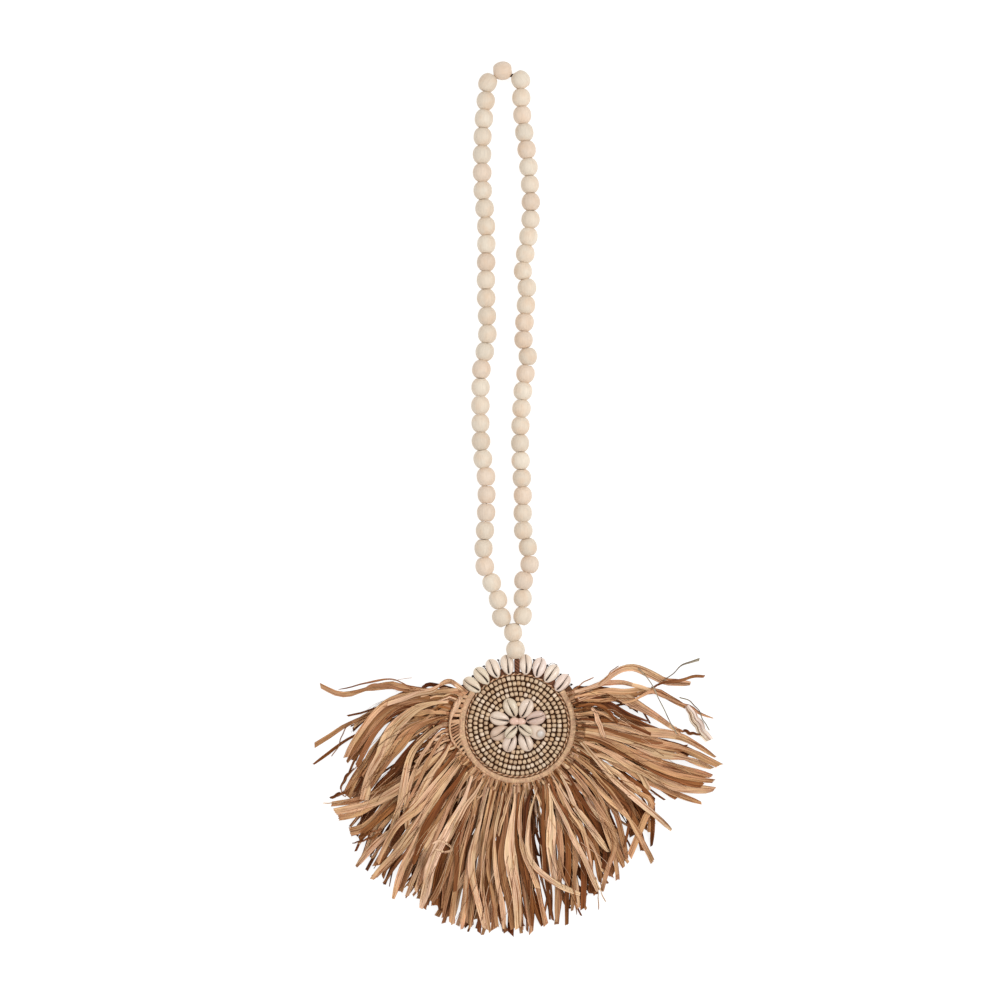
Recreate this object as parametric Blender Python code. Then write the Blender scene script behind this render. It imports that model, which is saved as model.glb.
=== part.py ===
"""Raffia tassel: a beaded disc with cowrie shells, a raffia fringe and a long loop of wooden beads.

It lies flat, face up. Units are metres, +Z is up and +Y runs from the disc towards the hanging loop.
The origin is the centre of the disc, on its flat underside.
"""

import math
import random
from collections import namedtuple

import bmesh
import bpy
import numpy as np
from mathutils import Matrix, Vector

MM = 0.001
GAP = 0.3 * MM  # left between pieces that lie against each other

# Wooden beads. A bead is a round of BEAD_SIDES sides that lies on one of them.
BEAD_RADIUS = 8.0 * MM
BEAD_LENGTH = 14.6 * MM
BEAD_SHOULDER = 4.6 * MM  # from the middle to the ring where the bead turns in
BEAD_SHOULDER_RADIUS = 6.5 * MM
BEAD_NECK_RADIUS = 2.0 * MM
BEAD_SIDES = 8
BEAD_AXIS_HEIGHT = BEAD_RADIUS * math.cos(math.pi / BEAD_SIDES)
BEADS_IN_A_RUN = 4
LEFT_BEADS = 31
RIGHT_BEADS = 32
TOP_BEAD = (-13.0 * MM, 563.2 * MM)
NECK_BEADS = ((-1.8 * MM, 65.4 * MM), (-3.9 * MM, 80.4 * MM))
NECK_REACH = 7.6 * MM  # from the middle of the upper neck bead to the strings that enter it

# The two sides of the loop as they lie, from the top down: across (x) and along (y), in mm.
LEFT_ROUTE_MM = (
    (-25.8, 552.6),
    (-30.2, 505.0),
    (-30.0, 461.0),
    (-27.0, 429.0),
    (-27.2, 375.0),
    (-26.1, 334.0),
    (-31.4, 303.0),
    (-31.4, 243.0),
    (-27.0, 212.0),
    (-27.2, 180.0),
    (-29.3, 152.0),
    (-28.2, 137.0),
    (-22.2, 123.0),
    (-16.9, 108.6),
    (-13.9, 93.3),
)
RIGHT_ROUTE_MM = (
    (2.8, 555.0),
    (4.0, 525.0),
    (9.4, 480.0),
    (11.2, 436.0),
    (4.6, 392.0),
    (8.1, 377.0),
    (5.1, 332.0),
    (8.8, 317.0),
    (4.6, 288.0),
    (2.1, 244.0),
    (4.4, 200.0),
    (4.6, 170.0),
    (8.4, 155.6),
    (10.7, 140.6),
    (5.3, 125.7),
    (4.4, 110.0),
    (4.4, 94.8),
)

# Disc, coil and band, as radii from the centre.
ROUND_STEPS = 48
BACKING_RADIUS = 42.7 * MM
BACKING_HEIGHT = 4.0 * MM
COIL_INNER = 43.0 * MM
COIL_OUTER = 45.2 * MM
COIL_HEIGHT = 4.0 * MM
BAND_INNER = 45.5 * MM
BAND_OUTER = 50.0 * MM
BAND_HEIGHT = 7.0 * MM
FRINGE_FROM_DEG = 150.0  # angles run anticlockwise from +X
FRINGE_TO_DEG = 392.0

# Seed beads: the radius of each row and the number of beads in it.
SeedRow = namedtuple("SeedRow", "radius beads")
SEED_ROWS = (
    SeedRow(40.9 * MM, 64),
    SeedRow(36.3 * MM, 57),
    SeedRow(31.7 * MM, 50),
    SeedRow(27.2 * MM, 43),
)
SEED_WIDTH = 3.7 * MM
SEED_HEIGHT = 3.5 * MM
SEED_THREAD_WIDTH = 1.6 * MM  # the row between two beads
SEED_THREAD_HEIGHT = 1.7 * MM

# Cowrie shells: flat foot below, slit on top. Angles and headings are in degrees, anticlockwise from +X.
SHELL_HEIGHT = 6.3 * MM
SLIT_DEPTH = 1.0 * MM
FOOT_SHARE = 0.88  # the flat foot ends here, as a share of half the length
Shell = namedtuple("Shell", "name angle radius heading length width height base tilt")

# Rim shells: their outer ends rest on the surface and their inner ends on the coil.
RIM_SHELL_LENGTH = 18.2 * MM
RIM_SHELL_WIDTH = 10.9 * MM
RIM_SHELL_TILT = -16.0
RimShell = namedtuple("RimShell", "angle radius heading")
RIM_SHELLS = (
    RimShell(138.4, 51.8 * MM, 142.0),
    RimShell(125.7, 52.0 * MM, 130.0),
    RimShell(113.0, 52.7 * MM, 118.0),
    RimShell(99.5, 52.4 * MM, 102.0),
    RimShell(82.5, 52.4 * MM, 92.0),
    RimShell(69.5, 52.6 * MM, 75.0),
    RimShell(57.0, 52.6 * MM, 54.0),
    RimShell(43.6, 52.5 * MM, 50.0),
)

# Petals of the rosette, and the two shells that lie over them.
PETAL_LENGTH = 17.6 * MM
PETAL_WIDTH = 11.0 * MM
Petal = namedtuple("Petal", "angle radius heading")
PETALS = (
    Petal(110.5, 16.4 * MM, 116.0),
    Petal(64.4, 16.3 * MM, 65.0),
    Petal(22.5, 16.8 * MM, 17.5),
    Petal(-18.5, 16.6 * MM, -21.0),
    Petal(-64.5, 15.4 * MM, -64.0),
    Petal(-115.0, 15.8 * MM, -107.0),
    Petal(-158.0, 16.4 * MM, -153.0),
    Petal(159.0, 16.5 * MM, 164.0),
)
UPPER_SHELL_LENGTH = 13.4 * MM
UPPER_SHELL_WIDTH = 8.4 * MM
UPPER_SHELL_HEIGHT = 4.6 * MM
UPPER_SHELL_BASE = 9.4 * MM
UPPER_SHELL_TILT = 9.0
UPPER_SHELLS = (
    Petal(222.0, 7.6 * MM, 228.0),
    Petal(-27.0, 7.6 * MM, -33.0),
)
CENTRE_LOBES_DEG = (124.0, 50.0)
LOBE_DISTANCE = 4.7 * MM
LOBE_RADIUS = 2.5 * MM
LOBE_HEIGHT = 6.6 * MM

# Stem between the neck beads and the disc.
STEM_RADIUS = 1.25 * MM
STEM_FOOT = (-0.3 * MM, COIL_OUTER + GAP + 0.1 * MM, 3.6 * MM)

# Fringe header: a strip that stands off the band on the left side.
HEADER_OUTER = 54.0 * MM
HEADER_THICKNESS = 3.7 * MM
HEADER_HEIGHT = 8.0 * MM
HEADER_COLUMNS = 56
HEADER_ROWS = 3
BULGE_SIZE = 4.5 * MM
BULGE_DEG = 168.0
BULGE_SPREAD_DEG = 13.0

# Ribbons of the fringe.
ROOT_RUN = 7.0 * MM  # the first stretch, straight out of the header
ROOT_WIDTH = 3.2 * MM
RIBBON_THICKNESS = 1.1 * MM
LAY_GAP = 0.4 * MM  # between a ribbon and those that it lies on
TIP_TAPER = 0.6
FILL_SPANS = 3
FEATURE_SPANS = 4
FILL_WIDTH_MM = (4.4, 6.6)
FILL_REACH = (0.85, 0.99)  # share of the fan's reach
FILL_TURN_DEG = 4.5
FILL_BOW_MM = 6.0
FILL_SWING_MM = 3.5
SEED_OF_FILL = 11

# How the fringe fans out: where a ribbon starts, where it ends, its reach and its sideways bow in mm
# (plus is anticlockwise of the straight line to its tip).
Fan = namedtuple("Fan", "root_deg tip_deg reach bow")
FAN = (
    Fan(150, 171, 152, -8),
    Fan(160, 189, 150, -15),
    Fan(175, 203, 160, -14),
    Fan(190, 211, 168, -9),
    Fan(210, 226, 179, -5),
    Fan(230, 240, 172, 0),
    Fan(250, 254, 177, 0),
    Fan(270, 269, 175, 0),
    Fan(285, 284, 174, 0),
    Fan(300, 297, 158, 2),
    Fan(315, 309, 151, 3),
    Fan(330, 320, 150, 4),
    Fan(342, 337, 164, 2),
    Fan(355, 348, 167, 2),
    Fan(372, 357, 158, 8),
    Fan(392, 373, 150, 12),
)

# Ribbons that show one by one: as above, with a second bow (an S), the width in mm and the header row.
Ribbon = namedtuple("Ribbon", "root_deg tip_deg reach bow swing width row")
FEATURES = (
    Ribbon(151, 169, 173, 4, -6, 2.6, 2),
    Ribbon(153, 168, 157, -3, 5, 3.0, 1),
    Ribbon(155, 186, 176, -15, -3, 4.6, 2),
    Ribbon(157, 191, 178, -14, -2, 4.0, 1),
    Ribbon(160, 190, 149, -20, -4, 5.6, 2),
    Ribbon(164, 194, 144, -16, -3, 5.0, 2),
    Ribbon(168, 205, 147, -22, -3, 6.8, 2),
    Ribbon(170, 199, 161, -8, 2, 2.6, 1),
    Ribbon(172, 201, 186, -10, 6, 2.6, 0),
    Ribbon(173, 201, 138, -18, 0, 6.0, 2),
    Ribbon(176, 201, 173, -8, 3, 3.0, 1),
    Ribbon(188, 207, 174, -7, 2, 4.0, 1),
    Ribbon(200, 221, 183, -6, 2, 5.0, 1),
    Ribbon(206, 226, 182, -8, 0, 7.5, 2),
    Ribbon(216, 234, 184, -4, 2, 4.0, 1),
    Ribbon(228, 243, 176, 6, 8, 7.0, 2),
    Ribbon(237, 247, 168, 0, 0, 6.5, 1),
    Ribbon(249, 254, 181, 0, 2, 4.0, 1),
    Ribbon(268, 269, 176, 0, 2, 7.5, 2),
    Ribbon(272, 291, 152, -20, -4, 5.6, 2),
    Ribbon(283, 282, 172, 0, 2, 4.4, 1),
    Ribbon(287, 285, 178, 0, -2, 4.4, 1),
    Ribbon(291, 290, 166, 4, 0, 5.0, 2),
    Ribbon(295, 296, 157, 2, 0, 4.2, 2),
    Ribbon(299, 306, 129, 0, 0, 4.6, 2),
    Ribbon(308, 303, 158, 2, 0, 5.0, 1),
    Ribbon(313, 307, 153, 0, 2, 7.0, 1),
    Ribbon(320, 311, 147, 3, 0, 5.6, 2),
    Ribbon(335, 315, 165, 5, 0, 5.6, 2),
    Ribbon(340, 322, 151, 6, 0, 4.0, 1),
    Ribbon(345, 318, 156, 18, 5, 4.0, 1),
    Ribbon(349, 326, 161, -9, -4, 4.8, 2),
    Ribbon(339, 337, 171, 2, 0, 5.0, 0),
    Ribbon(343, 341, 177, 0, 0, 4.0, 0),
    Ribbon(345, 343, 177, -4, -2, 6.8, 2),
    Ribbon(352, 345, 173, -1, 0, 5.0, 1),
    Ribbon(354, 349, 177, -3, -2, 5.6, 2),
    Ribbon(363, 350, 169, 9, 0, 5.0, 2),
    Ribbon(375, 355, 150, 4, 0, 5.6, 1),
    Ribbon(380, 356, 166, 20, -7, 5.6, 2),
    Ribbon(386, 357, 157, 4, 7, 6.4, 2),
    Ribbon(382, 374, 166, -4, 0, 4.0, 1),
    Ribbon(386, 380, 167, -9, 0, 2.6, 1),
    Ribbon(389, 362, 169, 14, 2, 4.2, 2),
    Ribbon(390, 373, 153, 15, 4, 5.4, 1),
    Ribbon(391, 356, 137, 31, -2, 2.6, 2),
)

WOOD = ("wood", (0.76, 0.64, 0.49), 0.6)
CORD = ("cord", (0.16, 0.08, 0.04), 0.9)
GROUND = ("ground", (0.10, 0.05, 0.03), 0.9)
SEED_BEAD = ("seed_bead", (0.62, 0.46, 0.28), 0.35)
RAFFIA_BAND = ("raffia_band", (0.46, 0.27, 0.15), 0.7)
RAFFIA = ("raffia", (0.38, 0.20, 0.10), 0.7)
SHELL = ("shell", (0.75, 0.62, 0.52), 0.35)


def clear_scene():
    for old in list(bpy.data.objects):
        bpy.data.objects.remove(old)


def material(kind):
    """The shared material of one kind of piece."""
    name, colour, roughness = kind
    found = bpy.data.materials.get(name)
    if found:
        return found
    made = bpy.data.materials.new(name)
    made.use_nodes = True
    shader = made.node_tree.nodes["Principled BSDF"]
    shader.inputs["Base Color"].default_value = (*colour, 1.0)
    shader.inputs["Roughness"].default_value = roughness
    shader.inputs["Metallic"].default_value = 0.0
    return made


def add_object(name, bm, kind, smooth_deg=50.0):
    """Turns a bmesh into a named object with its faces out."""
    bmesh.ops.recalc_face_normals(bm, faces=bm.faces)
    mesh = bpy.data.meshes.new(name)
    bm.to_mesh(mesh)
    bm.free()
    mesh.shade_smooth()
    mesh.set_sharp_from_angle(angle=math.radians(smooth_deg))
    mesh.materials.append(material(kind))
    made = bpy.data.objects.new(name, mesh)
    bpy.context.collection.objects.link(made)
    return made


def polar(radius, degrees):
    angle = math.radians(degrees)
    return np.array((radius * math.cos(angle), radius * math.sin(angle)))


def loft(bm, rings, cap_start=True, cap_end=True):
    """Joins rings of vertices, all with the same count, by quads, and closes the ends."""
    for lower, upper in zip(rings, rings[1:]):
        for i in range(len(lower)):
            j = (i + 1) % len(lower)
            bm.faces.new((lower[i], lower[j], upper[j], upper[i]))
    if cap_start:
        bm.faces.new(rings[0])
    if cap_end:
        bm.faces.new(rings[-1])


# ---------------------------------------------------------------- wooden beads


def spline(points, at):
    """A point of the smooth curve through the points; at runs from 0 to the last index."""
    last = len(points) - 1
    i = min(int(at), last - 1)
    t = at - i
    before = points[max(i - 1, 0)]
    start = points[i]
    end = points[i + 1]
    after = points[min(i + 2, last)]
    return 0.5 * (
        2 * start
        + (end - before) * t
        + (2 * before - 5 * start + 4 * end - after) * t * t
        + (3 * start - before - 3 * end + after) * t * t * t
    )


def beads_along(route_mm, count):
    """Places for count beads, evenly spaced along the route, as (x, y)."""
    points = [np.array(p) * MM for p in route_mm]
    fine = [spline(points, k / 20) for k in range(20 * (len(points) - 1) + 1)]
    steps = [0.0]
    for a, b in zip(fine, fine[1:]):
        steps.append(steps[-1] + float(np.linalg.norm(b - a)))
    wanted = np.linspace(0.0, steps[-1], count)
    xs = np.interp(wanted, steps, [p[0] for p in fine])
    ys = np.interp(wanted, steps, [p[1] for p in fine])
    return [np.array((x, y)) for x, y in zip(xs, ys)]


def bead_ring(bm, centre, axis, radius):
    """One ring of vertices round the string, with a flat side down."""
    side = np.array((axis[1], -axis[0]))
    ring = []
    for k in range(BEAD_SIDES):
        angle = 2 * math.pi * (k + 0.5) / BEAD_SIDES
        flat = centre + side * radius * math.sin(angle)
        height = BEAD_AXIS_HEIGHT - radius * math.cos(angle)
        ring.append(bm.verts.new((flat[0], flat[1], height)))
    return ring


def unit(vector):
    return vector / np.linalg.norm(vector)


def bead_run(name, centres, before, after):
    """Beads fused along their string. before and after are the points where the string is cut."""
    bm = bmesh.new()
    stops = [before, *centres, after]
    first = unit(centres[0] - before)
    rings = [bead_ring(bm, before, first, BEAD_NECK_RADIUS)]
    for i, centre in enumerate(centres):
        axis = unit(stops[i + 2] - stops[i])
        for along, radius in (
            (-BEAD_SHOULDER, BEAD_SHOULDER_RADIUS),
            (0.0, BEAD_RADIUS),
            (BEAD_SHOULDER, BEAD_SHOULDER_RADIUS),
        ):
            rings.append(bead_ring(bm, centre + axis * along, axis, radius))
        if i < len(centres) - 1:
            middle = (centre + centres[i + 1]) / 2
            rings.append(bead_ring(bm, middle, unit(centres[i + 1] - centre), BEAD_NECK_RADIUS))
    rings.append(bead_ring(bm, after, unit(after - centres[-1]), BEAD_NECK_RADIUS))
    loft(bm, rings)
    add_object(name, bm, WOOD)


def cut_between(a, b):
    """The two string ends halfway from bead a to bead b, a gap apart."""
    middle = (a + b) / 2
    half = unit(b - a) * GAP / 2
    return middle - half, middle + half


def bead_side(name, centres, above, below):
    """One side of the loop as runs of a few beads. above and below are the beads it meets."""
    every = [above, *centres, below]
    for number, start in enumerate(range(0, len(centres), BEADS_IN_A_RUN)):
        run = centres[start : start + BEADS_IN_A_RUN]
        before = cut_between(every[start], run[0])[1]
        after = cut_between(run[-1], every[start + len(run) + 1])[0]
        if start + len(run) == len(centres):
            after = below + unit(run[-1] - below) * NECK_REACH
        bead_run(f"{name}_beads_{number + 1}", run, before, after)


def wooden_beads():
    top = np.array(TOP_BEAD)
    lower_neck, upper_neck = (np.array(p) for p in NECK_BEADS)
    left = beads_along(LEFT_ROUTE_MM, LEFT_BEADS)
    right = beads_along(RIGHT_ROUTE_MM, RIGHT_BEADS)
    bead_side("left", left, top, upper_neck)
    bead_side("right", right, top, upper_neck)
    bead_run("top_bead", [top], cut_between(left[0], top)[1], cut_between(top, right[0])[0])
    hole = upper_neck + unit(upper_neck - lower_neck) * BEAD_LENGTH / 2
    foot = lower_neck - unit(upper_neck - lower_neck) * BEAD_LENGTH / 2
    bead_run("neck_beads", [lower_neck, upper_neck], foot, hole)


def stem():
    """The bound cord from the lower neck bead down to the edge of the disc."""
    lower, upper = (np.array(p) for p in NECK_BEADS)
    top = lower - unit(upper - lower) * (BEAD_LENGTH / 2 + GAP)
    start = Vector(STEM_FOOT)
    end = Vector((top[0], top[1], BEAD_AXIS_HEIGHT))
    bm = bmesh.new()
    rings = []
    for share in (0.0, 0.35, 0.7, 1.0):
        centre = start.lerp(end, share)
        ring = []
        for k in range(BEAD_SIDES):
            angle = 2 * math.pi * k / BEAD_SIDES
            offset = Vector((math.cos(angle), 0.0, math.sin(angle))) * STEM_RADIUS
            ring.append(bm.verts.new(centre + offset))
        rings.append(ring)
    loft(bm, rings)
    add_object("stem", bm, CORD)


# ------------------------------------------------------------------------ disc


def backing():
    """The round pad, with a bevelled upper edge."""
    bm = bmesh.new()
    rings = []
    for radius, height in (
        (BACKING_RADIUS, 0.0),
        (BACKING_RADIUS, BACKING_HEIGHT - 1.0 * MM),
        (BACKING_RADIUS - 1.0 * MM, BACKING_HEIGHT),
    ):
        ring = []
        for k in range(ROUND_STEPS):
            spot = polar(radius, 360.0 * k / ROUND_STEPS)
            ring.append(bm.verts.new((spot[0], spot[1], height)))
        rings.append(ring)
    loft(bm, rings)
    add_object("disc_backing", bm, GROUND)


def edge_section(inner, outer, height):
    """A low section with a flat foot and a rounded back, as (radius, height)."""
    middle = (inner + outer) / 2
    return (
        (inner, 0.0),
        (outer, 0.0),
        (outer, 0.62 * height),
        (middle, height),
        (inner, 0.62 * height),
    )


def sweep_section(name, section, from_deg, to_deg, kind):
    """Turns a section round the centre, whole or part of the way."""
    whole = to_deg - from_deg >= 360.0
    steps = round(ROUND_STEPS * (to_deg - from_deg) / 360.0)
    bm = bmesh.new()
    rings = []
    for k in range(steps if whole else steps + 1):
        degrees = from_deg + (to_deg - from_deg) * k / steps
        ring = []
        for radius, height in section:
            spot = polar(radius, degrees)
            ring.append(bm.verts.new((spot[0], spot[1], height)))
        rings.append(ring)
    if whole:
        rings.append(rings[0])
    loft(bm, rings, cap_start=not whole, cap_end=not whole)
    add_object(name, bm, kind)


def seed_row(number, row):
    """A row of seed beads: a square section that swells at each bead."""
    bm = bmesh.new()
    base = BACKING_HEIGHT + GAP
    rings = []
    for k in range(2 * row.beads):
        on_bead = k % 2 == 0
        width = SEED_WIDTH if on_bead else SEED_THREAD_WIDTH
        height = SEED_HEIGHT if on_bead else SEED_THREAD_HEIGHT
        degrees = 180.0 * k / row.beads
        ring = []
        for across, up in ((-1.0, 0.0), (1.0, 0.0), (0.7, 1.0), (-0.7, 1.0)):
            spot = polar(row.radius + across * width / 2, degrees)
            ring.append(bm.verts.new((spot[0], spot[1], base + up * height)))
        rings.append(ring)
    rings.append(rings[0])
    loft(bm, rings, cap_start=False, cap_end=False)
    add_object(f"seed_row_{number}", bm, SEED_BEAD)


# ---------------------------------------------------------------------- shells


def shell_half_width(share, width):
    """Half the width at a share of the half length, fuller towards the outer end."""
    return width / 2 * (1.0 - abs(share) ** 2.3) ** 0.6 * (1.0 + 0.16 * share)


def shell(spec, kind=SHELL):
    """A cowrie: flat foot, full sides and a slit along the top. Its length is its own X."""
    bm = bmesh.new()
    rings = []
    for share in (-FOOT_SHARE, -0.5, 0.0, 0.5, FOOT_SHARE):
        half = shell_half_width(share, spec.width)
        full = half / shell_half_width(0.0, spec.width)
        top = spec.height * (0.35 + 0.65 * full)
        slit = SLIT_DEPTH if abs(share) < 0.8 else SLIT_DEPTH / 3
        x = share * spec.length / 2
        outline = (
            (-0.75 * half, 0.0),
            (0.75 * half, 0.0),
            (half, 0.45 * top),
            (0.22 * half, top),
            (0.0, top - slit),
            (-0.22 * half, top),
            (-half, 0.45 * top),
        )
        rings.append([bm.verts.new((x, y, z)) for y, z in outline])
    for ring, share in ((rings[0], -1.0), (rings[-1], 1.0)):
        tip = bm.verts.new((share * spec.length / 2, 0.0, 0.28 * spec.height))
        for i in range(len(ring)):
            bm.faces.new((ring[i], ring[(i + 1) % len(ring)], tip))
    loft(bm, rings, cap_start=False, cap_end=False)
    made = add_object(spec.name, bm, kind, smooth_deg=40.0)
    spot = polar(spec.radius, spec.angle)
    turn = Matrix.Rotation(math.radians(spec.heading), 4, "Z")
    lean = Matrix.Rotation(math.radians(-spec.tilt), 4, "Y")
    made.matrix_world = Matrix.Translation((spot[0], spot[1], spec.base)) @ turn @ lean


def rim_shells():
    lift = FOOT_SHARE * RIM_SHELL_LENGTH / 2 * math.sin(math.radians(-RIM_SHELL_TILT))
    size = (RIM_SHELL_LENGTH, RIM_SHELL_WIDTH, SHELL_HEIGHT)
    for number, place in enumerate(RIM_SHELLS):
        shell(Shell(f"rim_shell_{number + 1}", *place, *size, lift, RIM_SHELL_TILT))


def rosette():
    base = BACKING_HEIGHT + GAP
    size = (PETAL_LENGTH, PETAL_WIDTH, SHELL_HEIGHT)
    for number, place in enumerate(PETALS):
        shell(Shell(f"petal_{number + 1}", *place, *size, base, 0.0))
    size = (UPPER_SHELL_LENGTH, UPPER_SHELL_WIDTH, UPPER_SHELL_HEIGHT)
    for number, place in enumerate(UPPER_SHELLS):
        shell(Shell(f"upper_shell_{number + 1}", *place, *size, UPPER_SHELL_BASE, UPPER_SHELL_TILT))
    for number, degrees in enumerate(CENTRE_LOBES_DEG):
        lobe(f"centre_lobe_{number + 1}", degrees, base)


def lobe(name, angle, base):
    """A small rounded shell end at the centre of the rosette."""
    bm = bmesh.new()
    spot = polar(LOBE_DISTANCE, angle)
    rings = []
    for share, up in ((0.8, 0.0), (1.0, 0.4), (0.8, 0.8), (0.35, 1.0)):
        ring = []
        for k in range(BEAD_SIDES):
            offset = polar(LOBE_RADIUS * share, 360.0 * k / BEAD_SIDES)
            ring.append(bm.verts.new((*(spot + offset), base + up * LOBE_HEIGHT)))
        rings.append(ring)
    loft(bm, rings)
    add_object(name, bm, SHELL)


# ---------------------------------------------------------------------- fringe


class Pile:
    """How high the ribbons laid so far reach, on a square grid of small cells."""

    CELL = 0.7 * MM
    HALF = 210.0 * MM

    def __init__(self):
        cells = int(2 * self.HALF / self.CELL) + 1
        self.height = np.zeros((cells, cells))

    def cells(self, start, end, half_start, half_end):
        """Cells under a straight stretch of ribbon, and how far along it each one is."""
        run = end - start
        length = np.linalg.norm(run)
        side = np.array((-run[1], run[0])) / length
        along = np.linspace(0.0, 1.0, int(length / self.CELL) + 2)
        across = np.linspace(-1.0, 1.0, int(2 * max(half_start, half_end) / self.CELL) + 3)
        share, place = np.meshgrid(along, across, indexing="ij")
        half = half_start + (half_end - half_start) * share
        x = start[0] + run[0] * share + side[0] * half * place
        y = start[1] + run[1] * share + side[1] * half * place
        column = ((x + self.HALF) / self.CELL).astype(int)
        row = ((y + self.HALF) / self.CELL).astype(int)
        return column, row, share

    def highest(self, *stretch):
        column, row, _ = self.cells(*stretch)
        return float(self.height[column, row].max())

    def add(self, start_top, end_top, *stretch):
        column, row, share = self.cells(*stretch)
        top = start_top + (end_top - start_top) * share
        np.maximum.at(self.height, (column, row), top)


def header_radius(degrees):
    """Outer radius of the header, which stands off the band on the left side."""
    away = (degrees - BULGE_DEG) / BULGE_SPREAD_DEG
    return HEADER_OUTER + BULGE_SIZE * math.exp(-away * away)


def column_degrees(column):
    return FRINGE_FROM_DEG + (FRINGE_TO_DEG - FRINGE_FROM_DEG) * column / HEADER_COLUMNS


def ribbon_line(ribbon, spans):
    """Points of a ribbon seen from above: its root, the end of its root run, and on to its tip."""
    radius = header_radius(ribbon.root_deg)
    root = polar(radius, ribbon.root_deg)
    start = polar(radius + ROOT_RUN, ribbon.root_deg)
    chord = polar(ribbon.reach * MM, ribbon.tip_deg) - start
    side = np.array((-chord[1], chord[0])) / np.linalg.norm(chord)
    line = [root]
    for i in range(spans + 1):
        share = i / spans
        bow = ribbon.bow * math.sin(math.pi * share)
        swing = ribbon.swing * math.sin(2 * math.pi * share)
        line.append(start + chord * share + side * (bow + swing) * MM)
    return line


def ribbon_half_widths(ribbon, spans):
    """Half widths at the same points: narrow at the root, full, then cut a little narrower."""
    full = ribbon.width * MM / 2
    tip = [TIP_TAPER * full]
    return [ROOT_WIDTH / 2, ROOT_WIDTH / 2] + [full] * (spans - 1) + tip


def lay(pile, line, halves, root_height):
    """Heights of a ribbon's underside at each point, so that it lies on those below it."""
    under = [0.0] * (len(line) - 1)
    for i in range(1, len(line) - 1):
        found = pile.highest(line[i], line[i + 1], halves[i] + LAY_GAP, halves[i + 1] + LAY_GAP)
        under[i] = found + LAY_GAP if found > 0.0 else 0.0
    heights = [root_height]
    for i in range(1, len(line) - 1):
        heights.append(max(under[i], under[i - 1]))
    heights.append(under[-1])
    for i in range(1, len(line) - 1):
        tops = (heights[i] + RIBBON_THICKNESS, heights[i + 1] + RIBBON_THICKNESS)
        pile.add(*tops, line[i], line[i + 1], halves[i], halves[i + 1])
    return heights


def fan_at(root_deg):
    """Tip angle, reach and bow of the fan at a root angle, read between the rows of FAN."""
    roots = [row.root_deg for row in FAN]
    return [
        float(np.interp(root_deg, roots, [getattr(row, key) for row in FAN]))
        for key in ("tip_deg", "reach", "bow")
    ]


def fill_ribbon(rng, column, row):
    """One of the many ribbons between the ones that show by themselves."""
    root = column_degrees(column + 0.5)
    tip, reach, bow = fan_at(root)
    return Ribbon(
        root,
        tip + rng.uniform(-FILL_TURN_DEG, FILL_TURN_DEG),
        reach * rng.uniform(*FILL_REACH),
        bow + rng.uniform(-FILL_BOW_MM, FILL_BOW_MM),
        rng.uniform(-FILL_SWING_MM, FILL_SWING_MM),
        rng.uniform(*FILL_WIDTH_MM),
        row,
    )


def seat_features():
    """Gives each feature ribbon a free place in its header row, the nearest to its root angle."""
    seats = {}
    width = (FRINGE_TO_DEG - FRINGE_FROM_DEG) / HEADER_COLUMNS
    for ribbon in FEATURES:
        wanted = (ribbon.root_deg - FRINGE_FROM_DEG) / width - 0.5
        free = [c for c in range(HEADER_COLUMNS) if (c, ribbon.row) not in seats]
        column = min(free, key=lambda c: abs(c - wanted))
        seats[column, ribbon.row] = ribbon._replace(root_deg=column_degrees(column + 0.5))
    return seats


def header_wall(bm):
    """The header strip without its outer side, whose places the ribbons fill."""
    outer = []
    inner = []
    for column in range(HEADER_COLUMNS + 1):
        degrees = column_degrees(column)
        radius = header_radius(degrees)
        wall = polar(radius, degrees)
        back = polar(radius - HEADER_THICKNESS, degrees)
        heights = [HEADER_HEIGHT * row / HEADER_ROWS for row in range(HEADER_ROWS + 1)]
        outer.append([bm.verts.new((wall[0], wall[1], height)) for height in heights])
        ends = (heights[0], heights[-1])
        inner.append([bm.verts.new((back[0], back[1], height)) for height in ends])
    for a in range(HEADER_COLUMNS):
        b = a + 1
        bm.faces.new((inner[a][0], inner[a][1], inner[b][1], inner[b][0]))
        bm.faces.new((inner[a][1], outer[a][-1], outer[b][-1], inner[b][1]))
        bm.faces.new((outer[a][0], inner[a][0], inner[b][0], outer[b][0]))
    for end in (0, -1):
        bm.faces.new((inner[end][0], *outer[end], inner[end][1]))
    return outer


def grow_ribbon(bm, wall, line, halves, heights):
    """Lofts a ribbon out of its place in the header wall."""
    rings = [wall]
    for i in range(1, len(line)):
        ahead = line[min(i + 1, len(line) - 1)] - line[i - 1]
        side = np.array((ahead[1], -ahead[0])) / np.linalg.norm(ahead) * halves[i]
        low = heights[i]
        high = low + RIBBON_THICKNESS
        ring = []
        for sign, height in ((1, low), (-1, low), (-1, high), (1, high)):
            spot = line[i] + sign * side
            ring.append(bm.verts.new((spot[0], spot[1], height)))
        rings.append(ring)
    loft(bm, rings, cap_start=False)


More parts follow.
